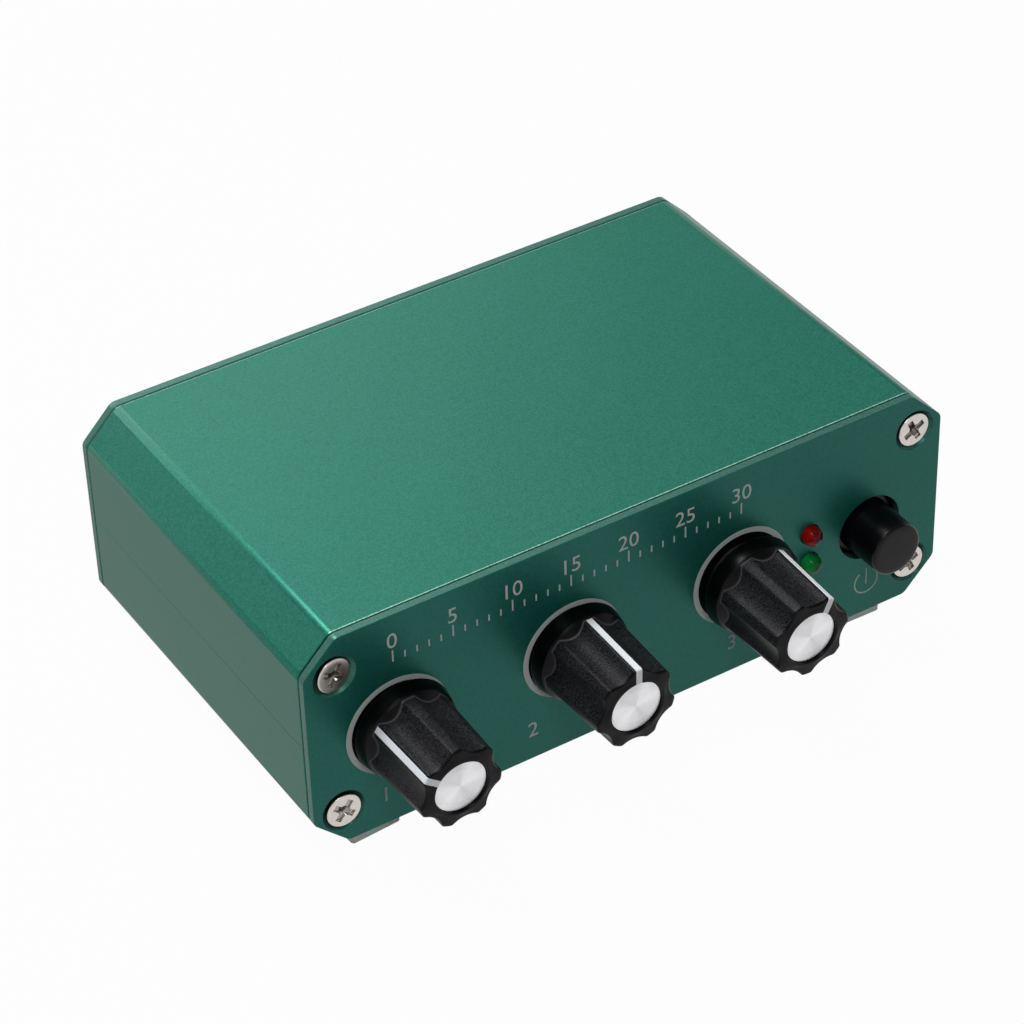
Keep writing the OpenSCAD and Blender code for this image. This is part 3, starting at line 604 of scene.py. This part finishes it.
FINISHES = {
    "case_green": anodised(
        "case_green", tone(18, 86, 72), tone(44, 126, 106), 0.2, (0.8, 0.7, 0.7, 1), worn_edge),
    "panel_green": anodised(
        "panel_green", tone(17, 84, 74), tone(31, 108, 95), 0.27, (0.65, 0.76, 0.74, 1), milled_edge),
    "annulus_black": plastic("annulus_black", tone(4, 5, 5), tone(12, 13, 13), 0.6, 0.2, 0.2, 0.02, 0.02),
    "front_screw": screw_metal("front_screw", FRONT_Y / MM, 1),
    "rear_screw": screw_metal("rear_screw", REAR_Y / MM, -1),
    "nickel": metal("nickel", tone(168, 160, 152), tone(222, 217, 210), 0.24),
    "steel": metal("steel", tone(150, 150, 152), tone(200, 200, 204), 0.3),
    "gold": metal("gold", tone(190, 140, 60), tone(232, 190, 105), 0.2, 0.3),
    "button_black": plastic("button_black", tone(3, 3, 5), tone(14, 14, 17), 0.25, 0.2, 0.1, 0.16),
    "pointer_white": plastic("pointer_white", tone(214, 218, 222), tone(236, 239, 242), 0.4, 0.2, 0.1),
    "engraved": plastic("engraved", tone(168, 176, 172), tone(206, 212, 208), 0.6, 0.12, 0.3, 0.3, 0.02),
    "pot_blue": plastic("pot_blue", tone(26, 44, 80), tone(44, 66, 110), 0.4),
    "switch_grey": plastic("switch_grey", tone(30, 30, 32), tone(52, 52, 56), 0.45),
    "ivory": plastic("ivory", tone(214, 205, 180), tone(236, 228, 206), 0.4),
    "jack_black": plastic("jack_black", tone(10, 10, 11), tone(26, 26, 28), 0.4, 0.2, 0.2, 0.3),
    "insulator_white": plastic("insulator_white", tone(214, 214, 208), tone(240, 240, 236), 0.42, 0.2, 0.1),
    "ferrite": plastic("ferrite", tone(38, 36, 36), tone(70, 66, 64), 0.55, 0.2, 0.4),
    "relay_case": plastic("relay_case", tone(196, 150, 40), tone(226, 182, 70), 0.35, 0.2, 0.12),
    "capacitor_sleeve": plastic("capacitor_sleeve", tone(14, 16, 28), tone(34, 36, 52), 0.3, 0.4, 0.1),
    "chip_ceramic": plastic("chip_ceramic", tone(150, 120, 84), tone(190, 160, 120), 0.5, 0.2, 0.2),
    "red_lens": lens("red_lens", tone(64, 3, 5), tone(158, 14, 12), LAMP_X, LAMP_HEIGHTS["red"]),
    "green_lens": lens("green_lens", tone(2, 74, 34), tone(12, 142, 62), LAMP_X, LAMP_HEIGHTS["green"]),
    "clear_rubber": rubber("clear_rubber", tone(212, 222, 212), tone(236, 242, 236)),
    "board_green": laminate("board_green", tone(12, 60, 34), tone(30, 96, 56)),
}
for knob, (x, gap, _) in KNOBS.items():
    FINISHES[f"{knob}_black"] = knob_plastic(f"{knob}_black", x, gap)
    FINISHES[f"{knob}_spun"] = spun_metal(f"{knob}_spun", x, tone(190, 190, 193), tone(240, 240, 242))


# Case


def edge_depth(point):
    """Depth of a point below the case's outline, in millimetres."""
    across = abs(point.x) / MM - CASE_W / 2
    up = abs(point.z / MM - CASE_MID) - CASE_H / 2
    return -max(across, up, (across + up + CORNER_CUT) / math.sqrt(2))


def round_over(point):
    """Opens the small arc at a corner of the outline to the extrusion's wider one."""
    side = Vector((1 if point.co.x > 0 else -1, 1 if point.co.z / MM > CASE_MID else -1))
    flat = Vector((abs(point.co.x) / MM, abs(point.co.z / MM - CASE_MID)))
    lean = math.radians(22.5)
    corners = (
        (CASE_W / 2 - CORNER_CUT, CASE_H / 2, math.pi / 2 - lean),
        (CASE_W / 2, CASE_H / 2 - CORNER_CUT, lean),
    )
    for x, z, aim in corners:
        inward = -Vector((math.cos(aim), math.sin(aim))) / math.cos(lean)
        spoke = flat - Vector((x, z)) - inward * CORNER_ROUND
        if abs(spoke.length - CORNER_ROUND) < 0.02 and spoke.angle(-inward) < lean + 0.02:
            flat = Vector((x, z)) + inward * EXTRUSION_ROUND + spoke * EXTRUSION_ROUND / CORNER_ROUND
            point.co.x = side.x * flat.x * MM
            point.co.z = (CASE_MID + side.y * flat.y) * MM
            return


def shell(node, name):
    """The extrusion's half with its long edges rounded and its ends and seam broken."""
    piece = twin(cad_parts[node], name)
    pick(piece)
    edit()
    bpy.ops.mesh.select_all(action="SELECT")
    bpy.ops.mesh.remove_doubles(threshold=1e-6)
    bpy.ops.mesh.dissolve_limited(angle_limit=math.radians(0.5))
    leave()
    for point in piece.data.vertices:
        round_over(point)
    low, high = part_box(node)

    def outer(point):
        return edge_depth(point) < 0.45

    def at_end(a, b):
        return any(abs(a.y - y) < 1e-5 and abs(b.y - y) < 1e-5 for y in (low.y, high.y))

    def at_seam(a, b):
        return all(abs(p.z / MM - CASE_MID) < 0.01 and edge_depth(p) < 0.05 for p in (a, b))

    soften(piece, lambda a, b: outer(a) and outer(b) and at_end(a, b), 0.2 * MM, 2)
    soften(piece, at_seam, 0.08 * MM, 2)
    return finished(smooth(piece), "case_green", "case", "anodised_case", node)


shell("upper_shell", "upper_shell_extrusion")
shell("lower_shell", "lower_shell_extrusion")


# End panels


def hole(name, r, *foot):
    """Cutter for a hole with a broken rim, over a narrower foot where it has one."""
    step = RIM * 0.29
    wide = r + 2 * RIM - step
    flare = [(r, -RIM), (r + step, -step), (wide, step), (wide, 1), (0, 1)]
    return turned(name, [(0, -3), *(foot or [(r, -3)]), *flare])


def plate(name, holes):
    """Octagonal end panel with countersinks and holes at (x, height, radius)."""
    rebate, inset, broken = 0.22, 0.6, 0.1
    sheet = PANEL_T - rebate
    piece = brick(name, (CASE_W, CASE_H, sheet), (0, CASE_MID, -sheet / 2))

    def along(a, b):
        return abs(a.z - b.z) > 1

    soften(piece, along, CORNER_CUT, 1)
    soften(piece, along, PANEL_ROUND * math.tan(math.pi / 8), 4)
    soften(piece, lambda a, b: a.z > -0.01 and b.z > -0.01, broken, 2)
    soften(piece, lambda a, b: a.z < 0.01 - sheet and b.z < 0.01 - sheet, broken, 1)
    pick(piece)
    for face in piece.data.polygons:
        face.select = face.normal.z < -0.99
    edit()
    bpy.ops.mesh.select_mode(type="FACE")
    bpy.ops.mesh.inset(thickness=inset, depth=0)
    bpy.ops.mesh.extrude_region_move(TRANSFORM_OT_translate={"value": (0, 0, -rebate)})
    leave()
    sink = hole("sink", COUNTERSINK_R, (CHANNEL_R, -3), (CHANNEL_R, -PANEL_T))
    tools = [repeated(sink, [screw[:2] for screw in SCREWS])]
    tools += [set_in(hole("hole", r), shift(x, h)) for x, h, r in holes]
    return smooth(cut(piece, joined(tools)))


front_holes = [(x, KNOB_H, BUSHING_HOLE_R) for x, *_ in KNOBS.values()]
front_holes += [(LAMP_X, h, LAMP_R + 0.1) for h in LAMP_HEIGHTS.values()]
front_holes.append((BUTTON_X, BUTTON_H, BUTTON_HOLE_R))
panel = set_in(plate("front_plate", front_holes), FRONT)
finished(panel, "panel_green", "case", "anodised_panel", "front_panel")

rear_holes = [(-x, RF_H, RF_R + JACK_PLAY) for x in RF_XS.values()]
rear_holes += [(-KEY_X, KEY_H, KEY_R + JACK_PLAY), (-INLET_X, INLET_H, INLET_NOSE_R + JACK_PLAY)]
panel = set_in(plate("rear_plate", rear_holes), REAR)
finished(panel, "panel_green", "case", "anodised_panel", "rear_panel")


def screws(name):
    """Four countersunk screws with cross recesses and a slight crown."""
    cone = SCREW_HEAD_R - SCREW_R
    long, narrow, deep = 3.6, 0.96, 1.4
    outline = eased([
        (0, -8.5), (1.2, -8.5), (SCREW_R, -8.2), (SCREW_R, -cone),
        (SCREW_HEAD_R, 0, 0.14), (1.6, 0.03), (0, 0.05),
    ])
    piece = turned(name, outline, 48)
    for size in ((long, narrow, deep), (narrow, long, deep)):
        wing = brick("wing", size, (0, 0, 0.1))
        soften(wing, lambda a, b: a.z < 0 and b.z < 0, 0.34, 4)
        cut(piece, wing)
    pit = turned("pit", [(0, -1), (0.4, -0.95), (1.15, 0.5), (0, 0.5)], 24)
    cut(piece, pit)
    return smooth(repeated(piece, SCREWS), 28)


piece = set_in(screws("front_screws"), FRONT)
finished(piece, "front_screw", "case", "nickel", "front_panel_screws")
piece = set_in(screws("rear_screws"), REAR)
finished(piece, "rear_screw", "case", "nickel", "rear_panel_screws")


# Feet


def feet():
    """Four soft pads that reach just under the panels."""
    low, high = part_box("rubber_feet")
    side, reach, left_in = 8, 0.68, 0.6
    askew = (-3.7, 2, 1.5, -1)
    tall = (high.z - low.z) / MM
    pad = brick("feet_pads", (side, side, tall), (0, 0, tall / 2))
    soften(pad, lambda a, b: abs(a.z - b.z) > 1, 0.5, 4)
    soften(pad, lambda a, b: a.z < 0.01 and b.z < 0.01, 0.14, 2)
    soften(pad, lambda a, b: a.z > tall - 0.01 and b.z > tall - 0.01, 0.15, 2)
    corners = [(x, y) for x in (low.x / MM + side / 2 + left_in, high.x / MM - side / 2)
               for y in (low.y / MM + side / 2 - reach, high.y / MM - side / 2 + reach)]
    corners = [corner + (0, turn) for corner, turn in zip(corners, askew)]
    return smooth(set_in(repeated(pad, corners), SMALL))


finished(feet(), "clear_rubber", "case", "foot_rubber", "rubber_feet")


# Knobs


def larger(a, b, blend):
    """The larger of two lengths, with a round of about the blend's size where they meet."""
    return (a + b + math.hypot(a - b, blend)) / 2


def flute_dip(angle, r):
    """Depth of the flutes at an angle from a lobe, for a grip of that radius."""
    turn = 2 * math.pi / LOBES
    off = (angle / turn) % 1 * turn - turn / 2
    centre = r - FLUTE_DEPTH + FLUTE_R
    inside = FLUTE_R ** 2 - (centre * math.sin(off)) ** 2
    dip = r - centre * math.cos(off) + math.sqrt(inside) if inside > 0 else -0.4
    return larger(dip, 0, 0.11)


def ease(value):
    """A smooth step from 0 to 1."""
    value = min(max(value, 0), 1)
    return value * value * (3 - 2 * value)


def pointer_bar(name, play):
    """Inlay along the top lobe and over the front face, with room round it for its groove."""
    proud = 0.03 + play
    sunk = 0.35 + play
    foot = GRIP_Z + 0.1 - play
    inner = CAP_R + 0.08 - 2 * play
    path = eased([
        (GRIP_R + proud, foot), (NOSE_R + proud, NOSE_Z + proud, 0.3), (inner, KNOB_LEN + proud),
        (inner, KNOB_LEN - sunk), (NOSE_R - sunk, NOSE_Z - sunk), (GRIP_R - sunk, foot),
    ])
    half = POINTER_W / 2 + play
    bar = slab(name, path, -half, half)
    stand = Matrix(((0, 0, 1, 0), (1, 0, 0, 0), (0, 1, 0, 0), (0, 0, 0, 1)))
    return set_in(bar, stand)


def knob(name, gap):
    """Fluted grip with a skirt, a hollow back and a recess for the cap, pointer lobe towards local Y."""
    hollow_z = 3.4 - gap
    bore_z = 13.4 - gap
    bore_r = 3.02
    seat_r, seat_z = CAP_R + 0.03, CAP_Z - 0.7
    rise = [SHOULDER_Z + 0.15 + 0.09 * i for i in range(14)]
    back = [(0, bore_z), (bore_r, bore_z), (bore_r, hollow_z), (HOLLOW_R, hollow_z), (HOLLOW_R, 0)]
    skirt = [(SKIRT_R, 0, 0.15), (SHOULDER_R, SHOULDER_Z, 0.17)]
    grip = [(GRIP_R, z) for z in rise] + [(6.69, 4.2), (6.63, 6), (6.53, 9), (6.43, 12), (6.37, 14)]
    nose = [(NOSE_R, NOSE_Z, 0.35), (5.9, 14.84), (5.4, 14.88), (4.9, 14.92), (4.5, 14.96)]
    seat = [(seat_r, KNOB_LEN, 0.12), (seat_r, seat_z), (0, seat_z)]
    outline = eased(back + skirt + grip + nose + seat)
    piece = turned(name, outline, LOBES * 32)
    for point in piece.data.vertices:
        x, y, z = point.co
        r = math.hypot(x, y)
        front = ease((r - CAP_R - 0.3) / (NOSE_R - 0.5 - CAP_R - 0.3))
        inside = r < HOLLOW_R + 0.01 and z < hollow_z + 0.01
        if inside or z < rise[0] - 0.01 or front == 0:
            continue
        full = GRIP_R + (NOSE_R - GRIP_R) * (z - GRIP_Z) / (NOSE_Z - GRIP_Z)
        dip = flute_dip(math.atan2(x, y), full)
        wall = r - front * dip
        if z < rise[-1] + 0.01:
            wall = full - dip
            wall = larger(wall, SHOULDER_R - (z - SHOULDER_Z) / SHOULDER_SLOPE, 0.12)
        point.co = (x * wall / r, y * wall / r, z)
    cut(piece, pointer_bar("groove", 0.03))
    return smooth(piece, 40)


def cap(name):
    """Turned disc with fine grooves and a broken edge."""
    rim, back = CAP_R - 0.02, CAP_Z - 0.68
    outline = [(0, back), (rim, back), (rim, CAP_Z - 0.08), (CAP_R - 0.1, CAP_Z)]
    for i in range(6):
        r = CAP_R - 0.3 - 0.2 * i
        outline += [(r + 0.06, CAP_Z), (r + 0.03, CAP_Z - 0.02), (r, CAP_Z)]
    outline += [(r * (1 - k / 4), CAP_Z) for k in range(1, 5)]
    return smooth(turned(name, outline, 96), 20)


for control, (x, gap, angle) in KNOBS.items():
    body = f"{control}_control"
    place = FRONT @ shift(x, KNOB_H, gap, angle)
    piece = set_in(knob(f"{control}_grip", gap), place)
    finished(piece, f"{control}_black", body, "knob_plastic", f"{control}_knob")
    piece = set_in(cap(f"{control}_disc"), place)
    finished(piece, f"{control}_spun", body, "knob_cap", f"{control}_cap")
    inlay = pointer_bar(f"{control}_line", 0)
    soften(inlay, lambda a, b: True, 0.04, 1)
    piece = set_in(smooth(inlay), place)
    finished(piece, "pointer_white", body, "pointer_white", f"{control}_pointer")


# Power button


def button():
    """Round push button with a soft front edge and a flange at its foot."""
    stem_r, flange_r = 1.62, 4.85
    back, face = -1.8, -1.45
    outline = eased([
        (0, 3), (stem_r, 3), (stem_r, back), (flange_r, back, 0.1), (flange_r, face, 0.15),
        (BUTTON_R + 0.02, face, 0.1), (BUTTON_R, 6.45, 0.5), (3, 6.5), (0, 6.5),
    ])
    return smooth(turned("power_push", outline, 72), 35)


piece = set_in(button(), FRONT @ shift(BUTTON_X, BUTTON_H))
finished(piece, "button_black", "button_control", "button_plastic", "power_button")


# Indicator lamps


def lamp(name):
    """Round-nosed lamp with a rim behind the panel."""
    angles = [math.radians(a) for a in range(0, 90, 9)]
    dome = [(LAMP_R * math.cos(a), 0.5 + LAMP_R * math.sin(a)) for a in angles]
    foot = [(0, -2.5), (1.8, -2.5), (1.9, -2.4), (1.9, -1.6), (1.8, -1.5), (LAMP_R, -1.5)]
    outline = foot + dome + [(0, 2)]
    return smooth(turned(name, outline, 48), 40)


for colour, h in LAMP_HEIGHTS.items():
    piece = set_in(lamp(f"{colour}_lens_body"), FRONT @ shift(LAMP_X, h))
    finished(piece, f"{colour}_lens", "case", f"{colour}_lens", f"{colour}_lamp")


# Markings on the front panel


def ring(name, inner, outer, degrees=360, start=0):
    """Flat ring, or part of one clockwise from a start angle."""
    a = math.radians(90 - start)
    piece = line(name, [(r * math.cos(a), r * math.sin(a), 0) for r in (inner, outer)])
    revolve(max(8, degrees // 5), degrees)
    return modified(piece, "SOLIDIFY", thickness=MARK, offset=0)


def bar(name, w, h):
    """Flat stroke with rounded ends."""
    piece = brick(name, (w, h, MARK), (0, 0, 0))
    return soften(piece, lambda a, b: abs(a.z - b.z) > MARK / 2, min(w, h) / 3, 2)


def number(text, size):
    """Plain digits as a flat mesh."""
    clear()
    bpy.ops.object.text_add()
    words = bpy.context.object.data
    words.body = text
    words.size = size
    words.align_x = "CENTER"
    words.align_y = "CENTER"
    words.extrude = MARK / 2
    words.resolution_u = 4
    bpy.ops.object.convert(target="MESH")
    return named(f"number_{text}")


def markings():
    """Dial rings, knob numbers, the power sign and a plain number scale."""
    parts = []
    for x, h in DIAL_PLACES:
        parts.append(set_in(ring("dial_ring", DIAL_R - RING_W, DIAL_R), shift(x, h)))
    for text, x in KNOB_NUMBERS.items():
        parts.append(set_in(number(text, KNOB_NUMBER), shift(x, KNOB_NUMBER_H)))
    parts.append(set_in(ring("power_ring", 1.9, 2.15, 290, 35), shift(POWER_X, POWER_H)))
    parts.append(set_in(bar("power_bar", 0.25, 2.9), shift(POWER_X, POWER_H + 0.95)))
    for i in range(SCALE_STEPS + 1):
        x = SCALE_FIRST + (SCALE_LAST - SCALE_FIRST) * i / SCALE_STEPS
        tall = TICK_SHORT if i % LONG_EVERY else TICK_LONG
        parts.append(set_in(bar("tick", LINE_W, tall), shift(x, SCALE_H + tall / 2)))
        if i % LONG_EVERY == 0:
            parts.append(set_in(number(str(i), SCALE_NUMBER), shift(x, SCALE_NUMBER_H)))
    return renamed(joined(parts), "panel_markings")


piece = set_in(markings(), FRONT)
finished(piece, "engraved", "case", "anodised_panel")
# Flat black annuli inside the dial rings, under the knobs' skirts
annuli = [set_in(ring("black_annuli", 5.4, DIAL_R - RING_W), shift(x, h)) for x, h in DIAL_PLACES]
piece = set_in(joined(annuli), FRONT)
finished(piece, "annulus_black", "case", "anodised_panel")


# Rear jacks


def nut(name, across, thickness, bore, low):
    """Hexagon nut with its corners turned off on both sides."""
    clear()
    r, high = across / 2, low + thickness
    bpy.ops.mesh.primitive_cylinder_add(
        vertices=6, radius=r / math.cos(math.pi / 6), depth=thickness, location=(0, 0, low + thickness / 2))
    piece = named(name)
    bpy.ops.object.transform_apply(location=True, rotation=True, scale=True)
    under, over, slim, wide, lip = low - 1, high + 1, r - 1.2, r + 1.6, 0.62
    lathe = [(0, under), (slim, under), (wide, low + lip), (wide, high - lip), (slim, over), (0, over)]
    cut(piece, turned("corner_lathe", lathe, 72), "INTERSECT")
    cut(piece, turned("nut_bore", [(0, under), (bore, under), (bore, over), (0, over)]))

    def on_rim(p):
        return min(abs(p.z - low), abs(p.z - high)) < 0.01 and math.hypot(p.x, p.y) < bore + 0.02

    soften(piece, lambda a, b: on_rim(a) and on_rim(b), 0.15, 1)
    return smooth(piece, 25)


def thread(name, r, low, high, pitch):
    """Helical ridge wound round a barrel."""
    root = r - 0.5 * pitch
    corners = [(root, 0.04), (r, 0.44), (r, 0.56), (root, 0.96), (root, 0.04)]
    piece = line(name, [(across, 0, low + pitch * up) for across, up in corners])
    bpy.ops.mesh.remove_doubles(threshold=SAME_POINT)
    leave()
    turns = int((high - low) / pitch) - 1
    modified(piece, "SCREW", angle=2 * math.pi, screw_offset=pitch, iterations=turns,
             steps=40, render_steps=40)
    pick(piece)
    edit()
    bpy.ops.mesh.select_all(action="SELECT")
    bpy.ops.mesh.fill_holes(sides=len(corners))
    tidy_up()
    return piece


def rf_body(name, x):
    """Barrel, block and thread of a coaxial jack."""
    face, back, seat = 10, -10.5, 8.1
    core, neck, mouth = RF_R - 0.33, RF_R - 0.3, 2.3
    barrel = turned(f"{name}_barrel", eased([
        (RF_BORE_R, back), (RF_R, back), (RF_R, 2.5), (neck, 2.5), (neck, 3.1), (core, 3.2),
        (core, face - 0.35), (core - 0.2, face, 0.08), (mouth, face, 0.1), (mouth, seat), (RF_BORE_R, seat),
        (RF_BORE_R, back),
    ]))
    wind = thread(f"{name}_thread", RF_R, 3.15, face - 0.2, RF_PITCH)
    low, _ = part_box(f"{name}_jack")
    above = 3.6
    tall = RF_H + above - low.z / MM
    block = brick(f"{name}_block", (7.2, tall, 9), (0, above - tall / 2, -6))
    soften(block, lambda a, b: True, 0.2, 2)
    cut(block, turned("block_bore", [(0, -12), (2.5, -12), (2.5, 0), (0, 0)]))
    piece = renamed(smooth(joined([barrel, wind, block])), f"{name}_connector")
    return set_in(piece, REAR @ shift(-x, RF_H))


for jack, x in RF_XS.items():
    finished(rf_body(jack, x), "gold", "case", "gold", f"{jack}_jack")

places = [(-x, RF_H) for x in RF_XS.values()]
bore, outside, thick = RF_R + JACK_PLAY, 4.4, 0.5
piece = set_in(repeated(nut("rf_lock_nuts", 8, 2, bore, thick), places), REAR)
finished(piece, "gold", "case", "gold", "rf_nuts")
disc = turned("rf_lock_washers", eased([
    (bore, 0), (outside, 0, 0.08), (outside, thick, 0.12), (bore, thick), (bore, 0),
]))
piece = set_in(smooth(repeated(disc, places)), REAR)
finished(piece, "gold", "case", "gold", "rf_washers")


def inlet():
    """Power inlet: moulded housing with a round nose and a deep socket."""
    socket_r, tip, floor, foot = 3.15, 0.8, -9.2, -9.6
    nose = turned("inlet_nose", eased([
        (0, floor), (socket_r, floor), (socket_r, tip, 0.25), (INLET_NOSE_R, tip, 0.2),
        (INLET_NOSE_R, -1.6), (INLET_NOSE_R, foot), (0, foot),
    ]))
    block = brick("inlet_block", (9, 11, 13), (0, -1, -8))
    soften(block, lambda a, b: True, 0.35, 3)
    cut(block, turned("inlet_room", [(0, -9.7), (4.01, -9.7), (4.01, 0), (0, 0)]))
    piece = renamed(smooth(joined([nose, block])), "power_inlet_housing")
    return set_in(piece, REAR @ shift(-INLET_X, INLET_H))


finished(inlet(), "jack_black", "case", "jack_plastic", "power_inlet")
pin = turned("inlet_centre_pin", eased([
    (0, -14.5), (1.4, -14.5, 0.1), (1.4, -9.2), (1, -9.2), (1, 0.3, 0.35), (0, 0.3),
]), 40)
piece = set_in(smooth(pin), REAR @ shift(-INLET_X, INLET_H))
finished(piece, "nickel", "case", "nickel", "inlet_pin")


def key():
    """Plug jack for the switching line: moulded body with a short threaded barrel."""
    outside, core, bore, tip = KEY_R - 0.02, 2.72, 1.8, 3.5
    barrel = turned("key_barrel", eased([
        (0, -10), (bore, -10), (bore, tip, 0.3), (core, tip, 0.2), (core, 2.1), (outside, 2),
        (outside, -1.6), (outside, -10.4), (0, -10.4),
    ]))
    wind = thread("key_thread", outside, 1.9, 3.45, KEY_PITCH)
    block = brick("key_block", (8, 8.6, 10), (0, -0.7, -6.5))
    soften(block, lambda a, b: True, 0.3, 3)
    cut(block, turned("key_room", [(0, -10.45), (3, -10.45), (3, 0), (0, 0)]))
    piece = renamed(smooth(joined([barrel, wind, block])), "key_connector")
    return set_in(piece, REAR @ shift(-KEY_X, KEY_H))


finished(key(), "jack_black", "case", "jack_plastic", "key_jack")
piece = set_in(nut("key_lock_nut", 8, 2, KEY_R + JACK_PLAY, 0), REAR @ shift(-KEY_X, KEY_H))
finished(piece, "nickel", "case", "nickel", "key_nut")


# Solids that keep their own shape


CARRIED = {
    "nickel": ("tune_bushing", "fine_bushing", "gain_bushing", "pot_nuts", "pot_washers", "pot_terminals",
               "lamp_leads", "tuning_coils"),
    "steel": ("tune_shaft", "fine_shaft", "gain_shaft"),
    "gold": ("antenna_contact", "receiver_contact"),
    "insulator_white": ("antenna_insulator", "receiver_insulator"),
    "pot_blue": ("tune_pot", "fine_pot", "gain_pot"),
    "switch_grey": ("power_switch", "amplifier_transistor", "voltage_regulator"),
    "ivory": ("switch_plunger",),
    "ferrite": ("amplifier_ring", "tuning_cores"),
    "relay_case": ("bypass_relays",),
    "capacitor_sleeve": ("smoothing_capacitors",),
    "chip_ceramic": ("chip_parts",),
    "board_green": ("main_board",),
}
for finish, nodes in CARRIED.items():
    for node in nodes:
        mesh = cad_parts[node].data
        mesh.materials.clear()
        mesh.materials.append(FINISHES[finish])


# Camera


def photo_camera():
    """The photograph's view: aim, tilt and framing as solved from the case's corners."""
    aim = Vector((0, 0.00345, 0.0197))
    azimuth, elevation, roll = (math.radians(a) for a in (-31.242, 37.646, -1.9))
    away = 0.516
    flat = math.cos(elevation)
    back = Vector((math.sin(azimuth) * flat, -math.cos(azimuth) * flat, math.sin(elevation)))
    level = Vector((0, 0, 1)).cross(back).normalized()
    up = back.cross(level)
    right = math.cos(roll) * level + math.sin(roll) * up
    up = math.cos(roll) * up - math.sin(roll) * level
    lens_data = bpy.data.cameras.new("photo_camera")
    lens_data.sensor_width = 36
    lens_data.lens = 126.35
    lens_data.shift_x = -0.0017
    lens_data.shift_y = -0.0125
    lens_data.clip_start = 0.01
    lens_data.clip_end = 20
    camera = bpy.data.objects.new("photo_camera", lens_data)
    bpy.context.scene.collection.objects.link(camera)
    turn = Matrix((right, up, back)).transposed().to_4x4()
    camera.matrix_world = Matrix.Translation(aim + back * away) @ turn
    bpy.context.scene.camera = camera


# Studio


def softbox(name, place, aim, size, power):
    light = bpy.data.lights.new(name, "AREA")
    light.shape = "DISK"
    light.size = size
    light.energy = power
    lamp = bpy.data.objects.new(name, light)
    bpy.context.scene.collection.objects.link(lamp)
    lamp.location = place
    lamp.rotation_euler = (Vector(aim) - Vector(place)).to_track_quat("-Z", "Y").to_euler()


def seen_directly(tree):
    """1 for what the camera, a reflection or a clear body shows, and 0 for light on the object."""
    path = tree.nodes.new("ShaderNodeLightPath")
    total = path.outputs["Is Camera Ray"]
    for name in ("Is Glossy Ray", "Is Transmission Ray"):
        most = tree.nodes.new("ShaderNodeMath")
        most.operation = "MAXIMUM"
        tree.links.new(total, most.inputs[0])
        tree.links.new(path.outputs[name], most.inputs[1])
        total = most.outputs[0]
    return total


def studio():
    """White sweep: a floor that keeps a faint shadow and curves up all round, an even world and lamps."""
    floor = smooth(turned("studio_floor", eased([(0, 0), (4, 0, 1), (4.4, 1.6)], 8), 96))
    material = bpy.data.materials.new("studio_white")
    material.use_nodes = True
    tree = material.node_tree
    tree.nodes.clear()
    matt = tree.nodes.new("ShaderNodeBsdfDiffuse")
    matt.inputs["Color"].default_value = (0.35, 0.35, 0.35, 1)
    glow = tree.nodes.new("ShaderNodeEmission")
    share = tree.nodes.new("ShaderNodeMath")
    share.operation = "MULTIPLY"
    share.inputs[1].default_value = 0.975
    tree.links.new(seen_directly(tree), share.inputs[0])
    mixed = tree.nodes.new("ShaderNodeMixShader")
    tree.links.new(share.outputs[0], mixed.inputs[0])
    tree.links.new(matt.outputs[0], mixed.inputs[1])
    tree.links.new(glow.outputs[0], mixed.inputs[2])
    out = tree.nodes.new("ShaderNodeOutputMaterial")
    tree.links.new(mixed.outputs[0], out.inputs[0])
    floor.data.materials.append(material)

    world = bpy.data.worlds.new("studio_world")
    world.use_nodes = True
    bpy.context.scene.world = world
    sky = world.node_tree.nodes["Background"]
    sky.inputs["Color"].default_value = (1, 1, 1, 1)
    sky.inputs["Strength"].default_value = 0.24

    softbox("main_light", (-0.1, 0.14, 0.5), (-0.02, -0.02, 0.02), 0.12, 1.6)
    softbox("fill_light", (-0.12, -0.16, 0.4), (-0.03, -0.02, 0.02), 0.14, 0.42)
    softbox("back_wall_light", (-0.05, 0.75, 0.42), (0, 0, 0.02), 1, 5.1)
    softbox("front_light", (-0.2, -0.6, 0.6), (0, 0, 0.02), 0.16, 0.8)


photo_camera()
studio()
bpy.context.scene.view_settings.view_transform = "Standard"
